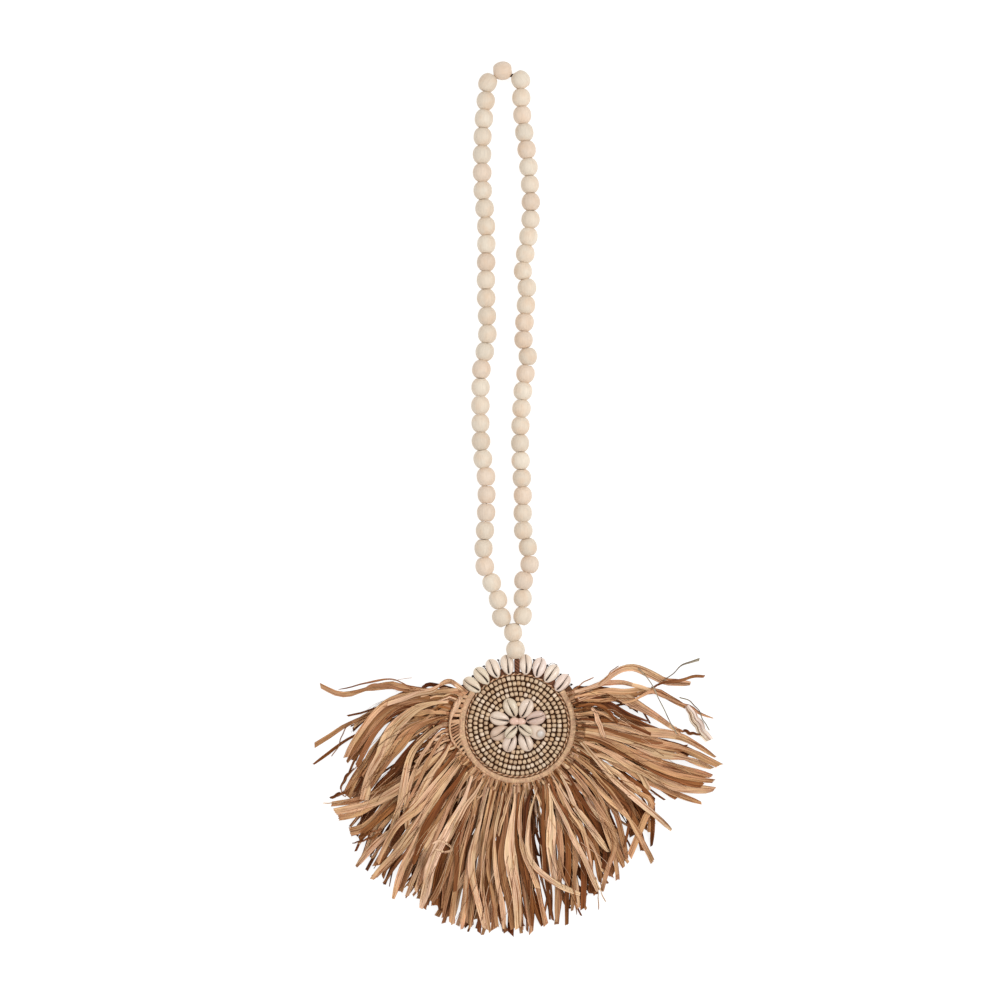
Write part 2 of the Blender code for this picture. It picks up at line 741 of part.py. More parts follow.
def fringe():
    """Header and ribbons, one closed body. Lower rows are laid first, and every other place."""
    rng = random.Random(SEED_OF_FILL)
    bm = bmesh.new()
    outer = header_wall(bm)
    seats = seat_features()
    pile = Pile()
    for row in range(HEADER_ROWS):
        places = list(range(0, HEADER_COLUMNS, 2)) + list(range(1, HEADER_COLUMNS, 2))
        places.sort(key=lambda column: (column, row) in seats)
        for column in places:
            spans = FEATURE_SPANS if (column, row) in seats else FILL_SPANS
            ribbon = seats.get((column, row)) or fill_ribbon(rng, column, row)
            line = ribbon_line(ribbon, spans)
            halves = ribbon_half_widths(ribbon, spans)
            heights = lay(pile, line, halves, HEADER_HEIGHT * row / HEADER_ROWS)
            right = outer[column]
            left = outer[column + 1]
            wall = [right[row], left[row], left[row + 1], right[row + 1]]
            grow_ribbon(bm, wall, line, halves, heights)
    add_object("fringe", bm, RAFFIA, smooth_deg=30.0)


def build():
    clear_scene()
    wooden_beads()
    stem()
    backing()
    coil = edge_section(COIL_INNER, COIL_OUTER, COIL_HEIGHT)
    sweep_section("edge_coil", coil, 0.0, 360.0, RAFFIA_BAND)
    band = edge_section(BAND_INNER, BAND_OUTER, BAND_HEIGHT)
    sweep_section("raffia_band", band, FRINGE_FROM_DEG, FRINGE_TO_DEG, RAFFIA_BAND)
    for number, row in enumerate(SEED_ROWS):
        seed_row(number + 1, row)
    rim_shells()
    rosette()
    fringe()


build()
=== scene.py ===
import math
import random
from collections import namedtuple

import bpy
import numpy as np
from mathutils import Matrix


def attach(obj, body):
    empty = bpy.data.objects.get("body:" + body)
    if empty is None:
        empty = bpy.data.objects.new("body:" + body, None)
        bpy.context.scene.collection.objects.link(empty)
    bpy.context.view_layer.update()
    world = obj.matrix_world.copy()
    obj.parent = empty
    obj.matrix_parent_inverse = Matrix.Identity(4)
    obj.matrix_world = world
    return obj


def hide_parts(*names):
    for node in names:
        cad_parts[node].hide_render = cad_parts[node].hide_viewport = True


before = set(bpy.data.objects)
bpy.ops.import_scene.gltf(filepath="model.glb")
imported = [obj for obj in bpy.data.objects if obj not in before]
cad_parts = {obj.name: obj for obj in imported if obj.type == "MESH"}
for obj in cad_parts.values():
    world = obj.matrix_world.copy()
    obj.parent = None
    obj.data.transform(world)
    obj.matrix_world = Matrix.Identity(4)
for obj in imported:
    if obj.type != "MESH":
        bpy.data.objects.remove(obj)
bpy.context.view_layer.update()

MM = 0.001
BODY = "root"
UP = np.array((0.0, 0.0, 1.0))

# Framing: the photograph's scale and the place of the disc's centre in it.
PHOTO_WIDTH_PX = 1000
PHOTO_MM_PER_PX = 0.86
DISC_IN_PHOTO_PX = (517.6, 725.7)
LENS_MM = 100.0
SENSOR_MM = 36.0

# Wooden beads, as in the solids.
BEAD_RADIUS = 8.0 * MM
BEAD_HALF_LENGTH = 7.3 * MM
BEAD_LONGEST_END = 7.9 * MM
BEAD_PLAY = 0.06 * MM
BEAD_SWELL = 8.1 * MM  # where the round would close without the flat ends
BEAD_FULLNESS = 2.15
BEAD_AXIS_HEIGHT = BEAD_RADIUS * math.cos(math.pi / 8)
BEADS_IN_A_RUN = 4
LEFT_BEADS = 31
RIGHT_BEADS = 32
TOP_BEAD = (-13.0 * MM, 563.2 * MM)
NECK_BEADS = ((-1.8 * MM, 65.4 * MM), (-3.9 * MM, 80.4 * MM))
LEFT_ROUTE_MM = (
    (-25.8, 552.6), (-30.2, 505.0), (-30.0, 461.0), (-27.0, 429.0), (-27.2, 375.0),
    (-26.1, 334.0), (-31.4, 303.0), (-31.4, 243.0), (-27.0, 212.0), (-27.2, 180.0),
    (-29.3, 152.0), (-28.2, 137.0), (-22.2, 123.0), (-16.9, 108.6), (-13.9, 93.3),
)
RIGHT_ROUTE_MM = (
    (2.8, 555.0), (4.0, 525.0), (9.4, 480.0), (11.2, 436.0), (4.6, 392.0), (8.1, 377.0),
    (5.1, 332.0), (8.8, 317.0), (4.6, 288.0), (2.1, 244.0), (4.4, 200.0), (4.6, 170.0),
    (8.4, 155.6), (10.7, 140.6), (5.3, 125.7), (4.4, 110.0), (4.4, 94.8),
)
STRING_RADIUS = 0.75 * MM
BORE_RADIUS = 1.2 * MM

# Disc, as in the solids.
BACKING_HEIGHT = 4.0 * MM
BEADWORK_BASE = BACKING_HEIGHT + 0.3 * MM
COIL_INNER = 43.0 * MM
COIL_OUTER = 45.2 * MM
COIL_HEIGHT = 4.0 * MM
COIL_TURNS = 58
BAND_INNER = 45.5 * MM
BAND_OUTER = 50.0 * MM
BAND_HEIGHT = 7.0 * MM
BAND_OVERHANG = 0.9 * MM  # how far the soft strip bulges over the roots of the fringe at the sides
FRINGE_FROM_DEG = 150.0
FRINGE_TO_DEG = 392.0
FRINGE_SPAN_DEG = FRINGE_TO_DEG - FRINGE_FROM_DEG
SeedRow = namedtuple("SeedRow", "radius beads node")
SEED_ROWS = (
    SeedRow(40.9 * MM, 64, "seed_row_1"),
    SeedRow(36.3 * MM, 57, "seed_row_2"),
    SeedRow(31.7 * MM, 50, "seed_row_3"),
    SeedRow(27.2 * MM, 43, "seed_row_4"),
    SeedRow(22.8 * MM, 36, None),
    SeedRow(18.4 * MM, 29, None),
)
SEED_HALF_LENGTH = 1.62 * MM
SEED_RADIUS = 1.9 * MM
SEED_HEIGHT = 3.5 * MM
SEED_TINT_LIMITS = (0.45, 0.72, 0.82)  # a draw below the first takes the first tint

# Shells, placed as in the solids. Angles and headings are in degrees, anticlockwise from +X.
SHELL_HEIGHT = 6.3 * MM
FOOT_SHARE = 0.88
Place = namedtuple("Place", "angle radius heading")
RIM_SHELL_SIZE = (18.4 * MM, 11.3 * MM, SHELL_HEIGHT)
RIM_SHELL_TILT = -16.0
RIM_SHELLS = (
    Place(138.4, 51.8 * MM, 142.0),
    Place(125.7, 52.0 * MM, 130.0),
    Place(113.0, 52.7 * MM, 118.0),
    Place(99.5, 52.4 * MM, 102.0),
    Place(82.5, 52.4 * MM, 92.0),
    Place(69.5, 52.6 * MM, 75.0),
    Place(57.0, 52.6 * MM, 54.0),
    Place(43.6, 52.5 * MM, 50.0),
)
PETAL_SIZE = (17.8 * MM, 12.0 * MM, SHELL_HEIGHT)
PETALS = (
    Place(110.5, 16.4 * MM, 116.0),
    Place(64.4, 16.3 * MM, 65.0),
    Place(22.5, 16.8 * MM, 17.5),
    Place(-18.5, 16.6 * MM, -21.0),
    Place(-64.5, 15.4 * MM, -64.0),
    Place(-115.0, 15.8 * MM, -107.0),
    Place(-158.0, 16.4 * MM, -153.0),
    Place(159.0, 16.5 * MM, 164.0),
)
TURNED_PETAL = 3  # this one lies on its slit and shows the knob of its back
KNOB_SHARE = 0.5
KNOB_RADIUS = 3.3 * MM
KNOB_LENGTH_SHARE = 0.37
UPPER_SHELL_SIZE = (14.0 * MM, 9.0 * MM, 4.8 * MM)
UPPER_SHELL_BASE = 9.4 * MM
UPPER_SHELL_TILT = 9.0
UPPER_SHELLS = (
    Place(222.0, 7.6 * MM, 228.0),
    Place(-27.0, 7.6 * MM, -33.0),
)
LOBE_DEG = (124.0, 50.0)
LOBE_DISTANCE = 4.7 * MM
LOBE_SIZES = (3.9 * MM, 3.5 * MM)
STEM_FOOT = (-0.3 * MM, 45.6 * MM, 3.6 * MM)
STEM_STRANDS = 6
STEM_TURNS = 1.6
STEM_HALF_MM = (1.6, 0.7)  # half its width and half its height, to the strands' middles
LASHINGS = ((0.05, 2.3), (0.13, 2.3), (0.93, 1.3))  # share of the stem's length and half width in mm

# Fringe header, as in the solids.
HEADER_OUTER = 54.0 * MM
HEADER_THICKNESS = 3.7 * MM
BULGE_SIZE = 5.4 * MM
BULGE_DEG = 177.0
BULGE_SPREAD_DEG = 24.0

# How the header and the ribbons are dressed.
HEADER_LOW_MM = 4.2
HEADER_RISE_MM = 6.4
HEADER_WAVE_MM = 0.25
ROOT_RUN = 6.0 * MM
ROWS = 5
RIBBONS_IN_A_ROW = (120, 128, 76, 0, 8)
# Tone ranges of the fill ribbons row by row: the tones differ at random, and the lower rows, which lie under
# the others, are darker as painted shade.
TONES_IN_A_ROW = ((0.0, 0.38), (0.06, 0.66), (0.22, 0.86), (0.3, 0.9), (0.45, 0.9))
RIBBON_WIDTHS_MM = ((0.40, 1.6, 2.8), (0.80, 2.8, 4.6), (1.0, 4.6, 7.4))  # up to a share, from, to
GATHERS = 210
GATHER_ROW = 3
LOOSE_FIBRES = 200
LOOSE_FIRST_POINT = (9, 20)
LOOSE_POINTS = (6, 14)
LOOSE_RADIUS_MM = (0.13, 0.24)
ROOT_HEIGHTS = (4.6 * MM, 5.6 * MM, 6.8 * MM, 7.4 * MM, 8.0 * MM)
LINE_POINTS = 27
CLUMP_DEG = 8.0
RIBBON_THICKNESS = 0.24 * MM
LAY_GAP = 0.2 * MM
HIGHEST = 25.0 * MM  # the pile is pressed down so that it never reaches this
# Painted shade: the sheet in the gap beside the band is dark in its holes up to this angle.
HOLES_TO_DEG = 174.0  # the gap beside the band is dark up to this angle, brown after it

# Painted shade: short dark pieces in the holes at the band's outer edge, where the fringe is sewn on: angle
# and half width in mm.
SHADE_NOTCHES = (
    (23.0, 1.3), (18.0, 0.8), (6.6, 1.3), (0.2, 1.0), (-4.4, 0.7), (-21.0, 0.8),
    (-30.0, 1.0), (-35.6, 0.8), (-59.5, 0.6), (-65.0, 0.6), (-72.6, 0.6), (-86.5, 0.6),
    (-93.6, 0.5), (-101.7, 0.6), (-118.0, 0.6), (-127.0, 0.5), (-137.2, 0.6), (-160.0, 1.1),
)

# Stitches across the gap at the left: from and to angle, step, lean of the outer end, and radius.
RUNGS = (
    (150.6, 175.2, 4.9, 1.0, 1.65 * MM),
    (177.2, 197.0, 2.75, 3.6, 0.95 * MM),
    (199.0, 206.0, 3.4, 1.0, 1.3 * MM),
)

# The fan, close to the solid's: the angles of root and tip, and the reach and the bow in mm.
Fan = namedtuple("Fan", "root_deg tip_deg reach bow")
FAN = (
    Fan(150, 171, 152, -8), Fan(160, 189, 148, -15), Fan(175, 203, 153, -14), Fan(190, 211, 169, -9),
    Fan(202, 220, 181, -7), Fan(210, 226, 182, -5), Fan(230, 240, 177, 0), Fan(250, 254, 184, 0),
    Fan(270, 269, 183, 0), Fan(285, 284, 177, 0), Fan(300, 297, 158, 2), Fan(315, 309, 151, 3),
    Fan(328, 319, 148, 4), Fan(336, 332, 140, 3), Fan(344, 340, 166, 2), Fan(355, 348, 170, 2),
    Fan(368, 356, 120, 4), Fan(392, 372, 106, 3),
)

# A ribbon of the fan: angles, reach, bow, second bow (an S) and width in mm, its row of roots, and its tone.
Ribbon = namedtuple("Ribbon", "root_deg tip_deg reach bow swing width row tone")

# Ribbons that show one by one, in their order from the lowest up: their tone from 0, dark, to 1, light,
# their widths at root, middle and tip, and the places that they pass on their way from the band. Widths
# and places are in pixels of the photograph. A tone above 1 is bleached and one below 0 is grey.
Strand = namedtuple("Strand", "tone widths route")
LOW_STRANDS_PX = (
    # upper left
    (0.50, (2, 3, 5), ((452, 700), (425, 700), (398, 704), (372, 714), (345, 726), (330, 736), (314, 746))),
    (0.26, (2, 2, 4), ((450, 703), (425, 707), (400, 713), (378, 724), (346, 741), (325, 756), (313, 765))),
    (0.15, (4, 9, 7), ((450, 722), (432, 729), (417, 742), (404, 758), (392, 773), (380, 787), (368, 800))),
    (0.10, (5, 9, 4), ((452, 735), (436, 748), (420, 764), (402, 776), (388, 789), (376, 800), (362, 806))),
    (0.36, (3, 8, 6), ((452, 702), (430, 703), (410, 705), (394, 709), (381, 720), (369, 736), (353, 760))),
    (0.50, (3, 7, 6), ((452, 700), (432, 700), (412, 702), (397, 706), (384, 714), (371, 728), (347, 762))),
    (0.30, (3, 6, 5), ((452, 702), (432, 704), (414, 706), (398, 709), (384, 722), (372, 738), (357, 766))),
    (0.40, (3, 6, 5), ((452, 699), (430, 697), (410, 698), (395, 702), (376, 716), (362, 735), (350, 756))),
    (0.45, (3, 8, 6), ((451, 720), (430, 724), (414, 733), (401, 744), (390, 757), (378, 775), (368, 790))),
    # left
    (0.60, (2, 9, 5), ((455, 742), (430, 760), (405, 777), (390, 786), (372, 794), (356, 800), (331, 805))),
    (0.58, (2, 10, 8), ((458, 746), (430, 770), (410, 785), (396, 797), (384, 809), (366, 826), (350, 832))),
    # lower left
    (0.24, (4, 13, 11), ((476, 769), (468, 796), (459, 826), (450, 852), (443, 880), (441, 911))),
    (0.45, (2, 6, 5), ((462, 754), (430, 790), (400, 822), (372, 850))),
    (0.35, (2, 6, 5), ((458, 748), (425, 780), (392, 808), (362, 832))),
    (0.50, (2, 7, 5), ((456, 744), (425, 768), (390, 792), (346, 812))),
    (0.40, (2, 6, 5), ((466, 760), (436, 800), (412, 835), (384, 870))),
    (0.38, (3, 8, 8), ((462, 754), (430, 795), (400, 830), (377, 865))),
    (0.30, (4, 8, 8), ((474, 767), (456, 810), (445, 850), (438, 880), (435, 905))),
    # bottom
    (0.50, (2, 6, 6), ((505, 784), (500, 830), (497, 880), (494, 929))),
    (0.40, (2, 6, 6), ((515, 785), (513, 830), (516, 880), (522, 930))),
    (0.55, (2, 6, 6), ((522, 785), (520, 830), (524, 880), (531, 929))),
    (0.35, (2, 5, 5), ((500, 782), (492, 830), (488, 880), (484, 926))),
    (0.45, (2, 6, 5), ((486, 776), (472, 820), (460, 870), (452, 918))),
    (0.50, (2, 6, 5), ((482, 774), (462, 820), (450, 860), (443, 908))),
    (0.10, (2, 5, 4), ((545, 781), (544, 805), (543, 826), (542, 848), (543, 873))),
    # lower right
    (0.40, (2, 6, 6), ((560, 772), (580, 806), (594, 840), (600, 882))),
    (0.45, (2, 6, 5), ((572, 752), (596, 782), (616, 815), (627, 858))),
    (0.56, (3, 7, 6), ((551, 779), (557, 806), (560, 835), (560, 862), (558, 892), (557, 922))),
    (0.30, (3, 7, 4), ((554, 777), (563, 806), (567, 836), (568, 866), (567, 896), (567, 926))),
    (0.52, (3, 6, 4), ((557, 775), (568, 806), (574, 836), (575, 866), (573, 896), (572, 911))),
    (0.14, (3, 6, 5), ((560, 773), (573, 800), (581, 830), (583, 862), (584, 886), (583, 908))),
    (0.28, (3, 5, 4), ((562, 771), (578, 800), (588, 830), (591, 860), (590, 892))),
    (0.45, (3, 8, 7), ((575, 750), (598, 768), (618, 788), (630, 806), (636, 826))),
    (0.35, (3, 7, 6), ((573, 754), (600, 778), (622, 800), (638, 830), (644, 852))),
    # right
    (0.60, (3, 8, 5), ((577, 741), (600, 753), (622, 765), (645, 779), (665, 789), (682, 796), (702, 804))),
    (0.14, (3, 5, 4), ((576, 712), (595, 704), (608, 704), (622, 712), (636, 720), (650, 727), (658, 731))),
)
FINE_STRANDS_PX = (
    # right
    (0.10, (3, 3, 2), ((577, 702), (596, 699), (612, 706), (630, 716), (648, 724), (664, 731))),
    (0.25, (3, 3, 2), ((577, 705), (598, 704), (616, 712), (634, 719), (652, 727), (668, 733))),
    (0.05, (2, 3, 2), ((577, 700), (594, 696), (606, 700), (620, 709), (636, 716), (650, 722))),
)
TOP_STRANDS_PX = (
    # upper left
    (0.62, (3, 5, 5), ((452, 714), (444, 712), (432, 711), (424, 712), (414, 714))),
    (0.66, (4, 8, 5), ((458, 692), (444, 691), (418, 690), (398, 686), (388, 685), (366, 690), (353, 694),
        (343, 695), (334, 693), (326, 689), (320, 686))),
    (0.40, (1, 2, 1), ((414, 689), (403, 683), (391, 680), (376, 681), (362, 684), (350, 688), (338, 690))),
    (0.42, (3, 4, 2), ((410, 691), (398, 689), (386, 686), (374, 686), (362, 690), (350, 693))),
    (0.70, (3, 7, 5), ((458, 689), (446, 690), (434, 691), (415, 693), (398, 697), (384, 704), (373, 714),
        (364, 726), (356, 738), (350, 748), (346, 757))),
    (0.84, (5, 5, 4), ((468, 694), (460, 687), (451, 682), (442, 683), (432, 689), (418, 693), (388, 703))),
    (0.22, (2, 4, 3), ((450, 702), (430, 702), (412, 706), (398, 711), (386, 719))),
    (0.80, (3, 13, 9), ((452, 701), (438, 702), (426, 704), (415, 708), (404, 717), (394, 729), (386, 742),
        (380, 756), (373, 770), (368, 784), (364, 799))),
    (0.60, (2, 7, 6), ((452, 716), (438, 717), (425, 721), (413, 728), (402, 737), (393, 748), (384, 762),
        (371, 786))),
    (0.46, (3, 6, 4), ((452, 716), (434, 719), (418, 727), (407, 738), (396, 752), (386, 765), (376, 777))),
    (0.40, (1, 1, 1), ((352, 722), (345, 729), (341, 738), (338, 747), (331, 757))),
    (0.25, (1, 3, 2), ((353, 769), (347, 776), (343, 782), (340, 790))),
    (0.30, (2, 3, 3), ((343, 792), (336, 796), (330, 799))),
    # left
    (0.66, (2, 7, 6), ((455, 744), (430, 764), (405, 784), (382, 800), (362, 811), (338, 818))),
    (0.74, (2, 10, 7), ((455, 742), (436, 756), (418, 772), (402, 786), (384, 796), (366, 804), (335, 811))),
    (0.80, (3, 8, 6), ((451, 724), (437, 727), (424, 738), (413, 752), (406, 775), (401, 798), (395, 821),
        (389, 846))),
    (0.72, (2, 4, 4), ((451, 728), (438, 733), (428, 746), (418, 762), (411, 780), (407, 800), (404, 820))),
    (0.50, (3, 4, 3), ((451, 731), (441, 738), (431, 755), (423, 772), (414, 790), (406, 806))),
    (0.14, (3, 7, 5), ((453, 736), (444, 752), (432, 772), (420, 792), (408, 812), (398, 834), (391, 846))),
    (0.80, (3, 9, 6), ((454, 738), (447, 750), (438, 764), (428, 780), (418, 798), (410, 812), (407, 828))),
    (0.85, (1, 1, 1), ((352, 799), (338, 803), (322, 804))),
    (0.20, (1, 2, 1), ((352, 787), (342, 794), (330, 799))),
    (0.30, (1, 1, 1), ((358, 765), (350, 774), (344, 781), (341, 788), (345, 796), (349, 789))),
    (0.25, (2, 1, 1), ((382, 828), (370, 833), (360, 838))),
    (0.25, (2, 2, 1), ((382, 832), (370, 838), (361, 841), (352, 844))),
    (0.22, (3, 8, 4), ((459, 746), (452, 757), (443, 769), (434, 781), (426, 795))),
    (0.68, (3, 5, 5), ((462, 752), (456, 762), (446, 774), (434, 790), (424, 806), (404, 836), (393, 848))),
    # lower left
    (0.78, (2, 7, 5), ((461, 750), (436, 780), (420, 800), (404, 816), (388, 832), (368, 852), (356, 867))),
    (0.70, (2, 6, 4), ((462, 754), (440, 786), (420, 806), (402, 820), (390, 836), (383, 850), (378, 862))),
    (0.78, (2, 10, 7), ((464, 757), (446, 782), (430, 806), (416, 828), (402, 846), (388, 861), (372, 879))),
    (0.24, (2, 3, 3), ((466, 758), (446, 792), (426, 822), (410, 846), (398, 862), (384, 883))),
    (0.72, (2, 8, 6), ((467, 760), (450, 790), (434, 814), (419, 836), (408, 856), (400, 876), (393, 899))),
    (0.48, (2, 5, 3), ((469, 762), (452, 794), (436, 820), (423, 842), (413, 862), (406, 878), (401, 892))),
    (0.76, (2, 5, 4), ((470, 764), (455, 796), (440, 822), (428, 844), (420, 862), (413, 880), (407, 896))),
    (0.16, (3, 7, 5), ((470, 762), (452, 786), (436, 808), (426, 826), (419, 846), (414, 862))),
    (0.55, (2, 5, 3), ((472, 766), (458, 790), (446, 812), (436, 834), (429, 852), (424, 868), (420, 884))),
    (0.97, (3, 10, 9), ((474, 767), (467, 790), (458, 811), (448, 829), (437, 847), (431, 866), (427, 886),
        (421, 908))),
    (0.92, (2, 2, 2), ((432, 842), (440, 838), (449, 843), (453, 848), (446, 850), (438, 848), (434, 846))),
    # bottom
    (0.45, (2, 5, 3), ((478, 771), (472, 796), (464, 824), (457, 850), (452, 878), (446, 902), (443, 917))),
    (0.62, (2, 5, 5), ((481, 773), (475, 798), (468, 826), (462, 852), (457, 880), (453, 902), (450, 922))),
    (0.18, (2, 6, 4), ((483, 774), (472, 796), (462, 818), (457, 842), (457, 864), (455, 890))),
    (0.82, (2, 5, 3), ((485, 775), (475, 792), (464, 808), (456, 824), (448, 840))),
    (0.82, (2, 6, 6), ((488, 777), (482, 804), (476, 835), (470, 862), (465, 892), (462, 929))),
    (0.64, (2, 5, 4), ((493, 779), (488, 806), (484, 830), (480, 855), (476, 885), (472, 908), (470, 928))),
    (0.20, (2, 5, 4), ((496, 780), (490, 806), (487, 832), (485, 856), (483, 886), (480, 910), (479, 932))),
    (0.84, (2, 7, 6), ((491, 778), (485, 800), (480, 818), (475, 836), (472, 856), (473, 880), (478, 902),
        (486, 928))),
    (0.70, (2, 4, 4), ((498, 781), (491, 808), (487, 832), (483, 856), (482, 884), (486, 908), (490, 931))),
    (0.55, (2, 4, 4), ((501, 783), (496, 808), (491, 832), (488, 850), (489, 872), (493, 896), (497, 926))),
    (0.16, (2, 6, 6), ((506, 784), (502, 810), (498, 835), (499, 856), (501, 876), (507, 895), (522, 926))),
    (0.42, (2, 9, 7), ((509, 784), (506, 820), (502, 850), (503, 872), (507, 892), (511, 910), (514, 928))),
    (0.80, (2, 5, 5), ((504, 784), (501, 803), (497, 822), (494, 840), (494, 858), (498, 880), (502, 902),
        (504, 929))),
    (0.74, (2, 4, 3), ((512, 785), (508, 800), (503, 816), (498, 834))),
    (0.22, (2, 6, 4), ((520, 785), (517, 808), (515, 832), (518, 850), (523, 870), (529, 890), (541, 926))),
    (0.88, (2, 12, 7), ((516, 785), (514, 805), (511, 828), (510, 850), (513, 874), (517, 897), (518, 928))),
    (0.66, (2, 6, 5), ((531, 784), (529, 820), (530, 850), (534, 872), (538, 890), (542, 908), (546, 926))),
    (0.30, (2, 4, 4), ((524, 785), (522, 815), (522, 845), (527, 872), (531, 895), (532, 926))),
    (0.80, (2, 6, 5), ((526, 785), (521, 802), (519, 820), (521, 838), (526, 856), (532, 872), (538, 888))),
    (0.08, (2, 6, 4), ((534, 784), (528, 802), (525, 820), (525, 836))),
    (0.42, (2, 5, 4), ((547, 780), (548, 800), (546, 824), (545, 848), (548, 873))),
    (0.20, (2, 4, 3), ((543, 783), (543, 840), (546, 880), (550, 904), (553, 921))),
    (0.90, (2, 9, 7), ((549, 779), (551, 800), (551, 822), (551, 845), (553, 868), (556, 884))),
    (0.92, (2, 5, 6), ((540, 782), (534, 799), (529, 816), (527, 836), (529, 853), (536, 867), (548, 878),
        (562, 886), (580, 893))),
    # lower right
    (0.22, (2, 5, 5), ((577, 748), (605, 766), (630, 779), (643, 788), (652, 799), (653, 815), (652, 847))),
    (0.50, (1, 3, 3), ((648, 800), (649, 812), (649, 832))),
    (0.58, (2, 6, 6), ((574, 750), (602, 774), (630, 788), (651, 801), (645, 818), (637, 836), (629, 855))),
    (0.16, (2, 3, 3), ((571, 757), (596, 780), (616, 796), (629, 808), (628, 826), (624, 846))),
    (0.12, (2, 5, 4), ((564, 768), (577, 790), (590, 812), (600, 832), (605, 850), (603, 868))),
    (0.55, (2, 8, 6), ((568, 762), (584, 778), (598, 796), (606, 816), (613, 838), (619, 854), (624, 868))),
    (0.64, (2, 6, 4), ((566, 766), (580, 782), (593, 799), (603, 818), (610, 840), (615, 860), (618, 881))),
    (0.56, (2, 5, 4), ((567, 764), (585, 786), (602, 812), (612, 834), (613, 850), (607, 868), (602, 891))),
    (0.70, (2, 6, 6), ((570, 760), (589, 778), (606, 796), (620, 808), (631, 822), (649, 854), (653, 863))),
    (0.74, (2, 5, 3), ((553, 776), (561, 792), (571, 810), (581, 826), (587, 845), (590, 862), (593, 880))),
    (0.20, (2, 5, 3), ((550, 779), (556, 797), (566, 814), (577, 832), (585, 850))),
    (0.88, (2, 6, 5), ((547, 780), (554, 798), (564, 818), (574, 838), (584, 858), (592, 876), (598, 890))),
    (0.90, (2, 7, 6), ((560, 771), (567, 787), (576, 806), (587, 822), (598, 837), (608, 851))),
    (0.95, (1, 1, 1), ((594, 878), (598, 892), (599, 911))),
    (0.95, (1, 1, 1), ((596, 878), (600, 890), (606, 903))),
    (0.35, (1, 1, 1), ((572, 880), (575, 900), (577, 916))),
    # right
    (0.74, (3, 10, 9), ((577, 738), (598, 747), (620, 758), (640, 770), (660, 780), (682, 787), (715, 790))),
    (0.34, (3, 8, 6), ((577, 735), (600, 741), (622, 751), (645, 763), (665, 774), (685, 782), (702, 785))),
    (0.50, (3, 8, 8), ((577, 732), (600, 737), (622, 745), (645, 756), (665, 764), (688, 770), (712, 777))),
    (0.80, (3, 10, 6), ((577, 730), (600, 733), (622, 739), (645, 747), (662, 753), (682, 757), (713, 769))),
    (0.60, (3, 9, 6), ((577, 727), (600, 730), (625, 735), (650, 741), (672, 746), (692, 752), (720, 766))),
    (0.55, (2, 6, 5), ((577, 733), (600, 738), (622, 748), (645, 762), (668, 771), (690, 777), (714, 781))),
    (0.22, (2, 5, 3), ((577, 724), (600, 727), (620, 732), (640, 739), (662, 742))),
    (0.72, (2, 9, 5), ((577, 722), (600, 723), (622, 726), (642, 729), (660, 732), (680, 737), (700, 747),
        (716, 758))),
    (0.18, (2, 4, 3), ((577, 718), (598, 719), (615, 720), (634, 726), (650, 733))),
    (0.55, (3, 6, 5), ((574, 699), (590, 699), (604, 700), (618, 698), (632, 694), (644, 693), (657, 692),
        (668, 697), (679, 703), (690, 710))),
    (0.66, (2, 4, 3), ((577, 713), (592, 712), (606, 714), (617, 720), (630, 724))),
    (0.30, (2, 4, 3), ((576, 706), (590, 704), (602, 706), (611, 714), (617, 722))),
    (0.72, (3, 10, 4), ((574, 702), (592, 695), (608, 691), (622, 696), (634, 703), (647, 711), (660, 719),
        (671, 726), (680, 732))),
    (0.66, (3, 6, 4), ((573, 697), (590, 693), (606, 690), (622, 691), (638, 689), (656, 690))),
    (0.78, (3, 5, 4), ((571, 693), (588, 688), (604, 683), (620, 683), (636, 685), (650, 690))),
    (0.58, (2, 4, 2), ((620, 702), (632, 700), (643, 695), (652, 691), (665, 697), (679, 703), (691, 707),
        (700, 714), (714, 719))),
    (1.10, (6, 11, 8), ((687, 706), (692, 714), (698, 724), (704, 734), (710, 741))),
    (0.40, (2, 4, 2), ((676, 728), (684, 731), (692, 734), (701, 735))),
    (0.84, (3, 8, 7), ((569, 692), (586, 688), (600, 683), (611, 676), (622, 670), (634, 668), (646, 672),
        (656, 677), (666, 682), (678, 683), (691, 684))),
    (0.36, (2, 3, 3), ((652, 688), (662, 684), (672, 682), (684, 679), (695, 677), (705, 677))),
    (-1.00, (1, 1, 3), ((664, 681), (672, 675), (680, 668), (689, 663), (700, 660))),
    (-1.00, (1, 1, 1), ((638, 668), (645, 675), (651, 684), (658, 696), (664, 710), (676, 733))),
    (0.45, (1, 1, 1), ((598, 684), (606, 677), (613, 670), (619, 666))),
    (0.45, (1, 1, 1), ((575, 688), (585, 682), (594, 678))),
    (-1.00, (1, 1, 1), ((680, 698), (691, 702), (699, 711), (704, 721), (710, 731))),
    (0.62, (3, 5, 4), ((570, 752), (585, 764), (599, 778), (612, 794), (622, 808))),
    (0.80, (2, 6, 5), ((575, 744), (592, 755), (610, 768), (626, 780), (640, 790))),
    (0.82, (3, 5, 5), ((591, 706), (595, 712), (599, 724), (604, 737))),
    (0.92, (4, 7, 5), ((574, 735), (582, 742), (591, 753), (602, 766), (614, 779), (627, 791), (642, 804),
        (656, 815), (672, 831))),
)
STRANDS_IN_ROW = {2: LOW_STRANDS_PX, 3: FINE_STRANDS_PX, 4: TOP_STRANDS_PX}  # row 0 is the lowest

# Places where the white surface shows between the ribbons, so the fill leaves them open.
OPEN_SPOTS_PX = (
    (538, 842), (504, 880), (623, 827), (662, 800), (668, 812), (662, 794), (657, 806),
    (356, 703), (375, 698), (685, 764), (630, 676), (642, 681), (645, 699), (668, 704),
    (690, 714), (680, 722), (625, 708), (640, 716), (367, 752), (385, 768), (395, 757),
    (372, 703), (358, 711), (390, 718), (402, 750),
)
OPEN_SPOT = 1.4 * MM
ROOTED_WITHIN = 62.0 * MM  # a strand that starts nearer than this to the middle grows from the band


def srgb(red, green, blue):
    """Linear colour of a screen colour given from 0 to 255."""
    return tuple((value / 255.0) ** 2.2 for value in (red, green, blue))


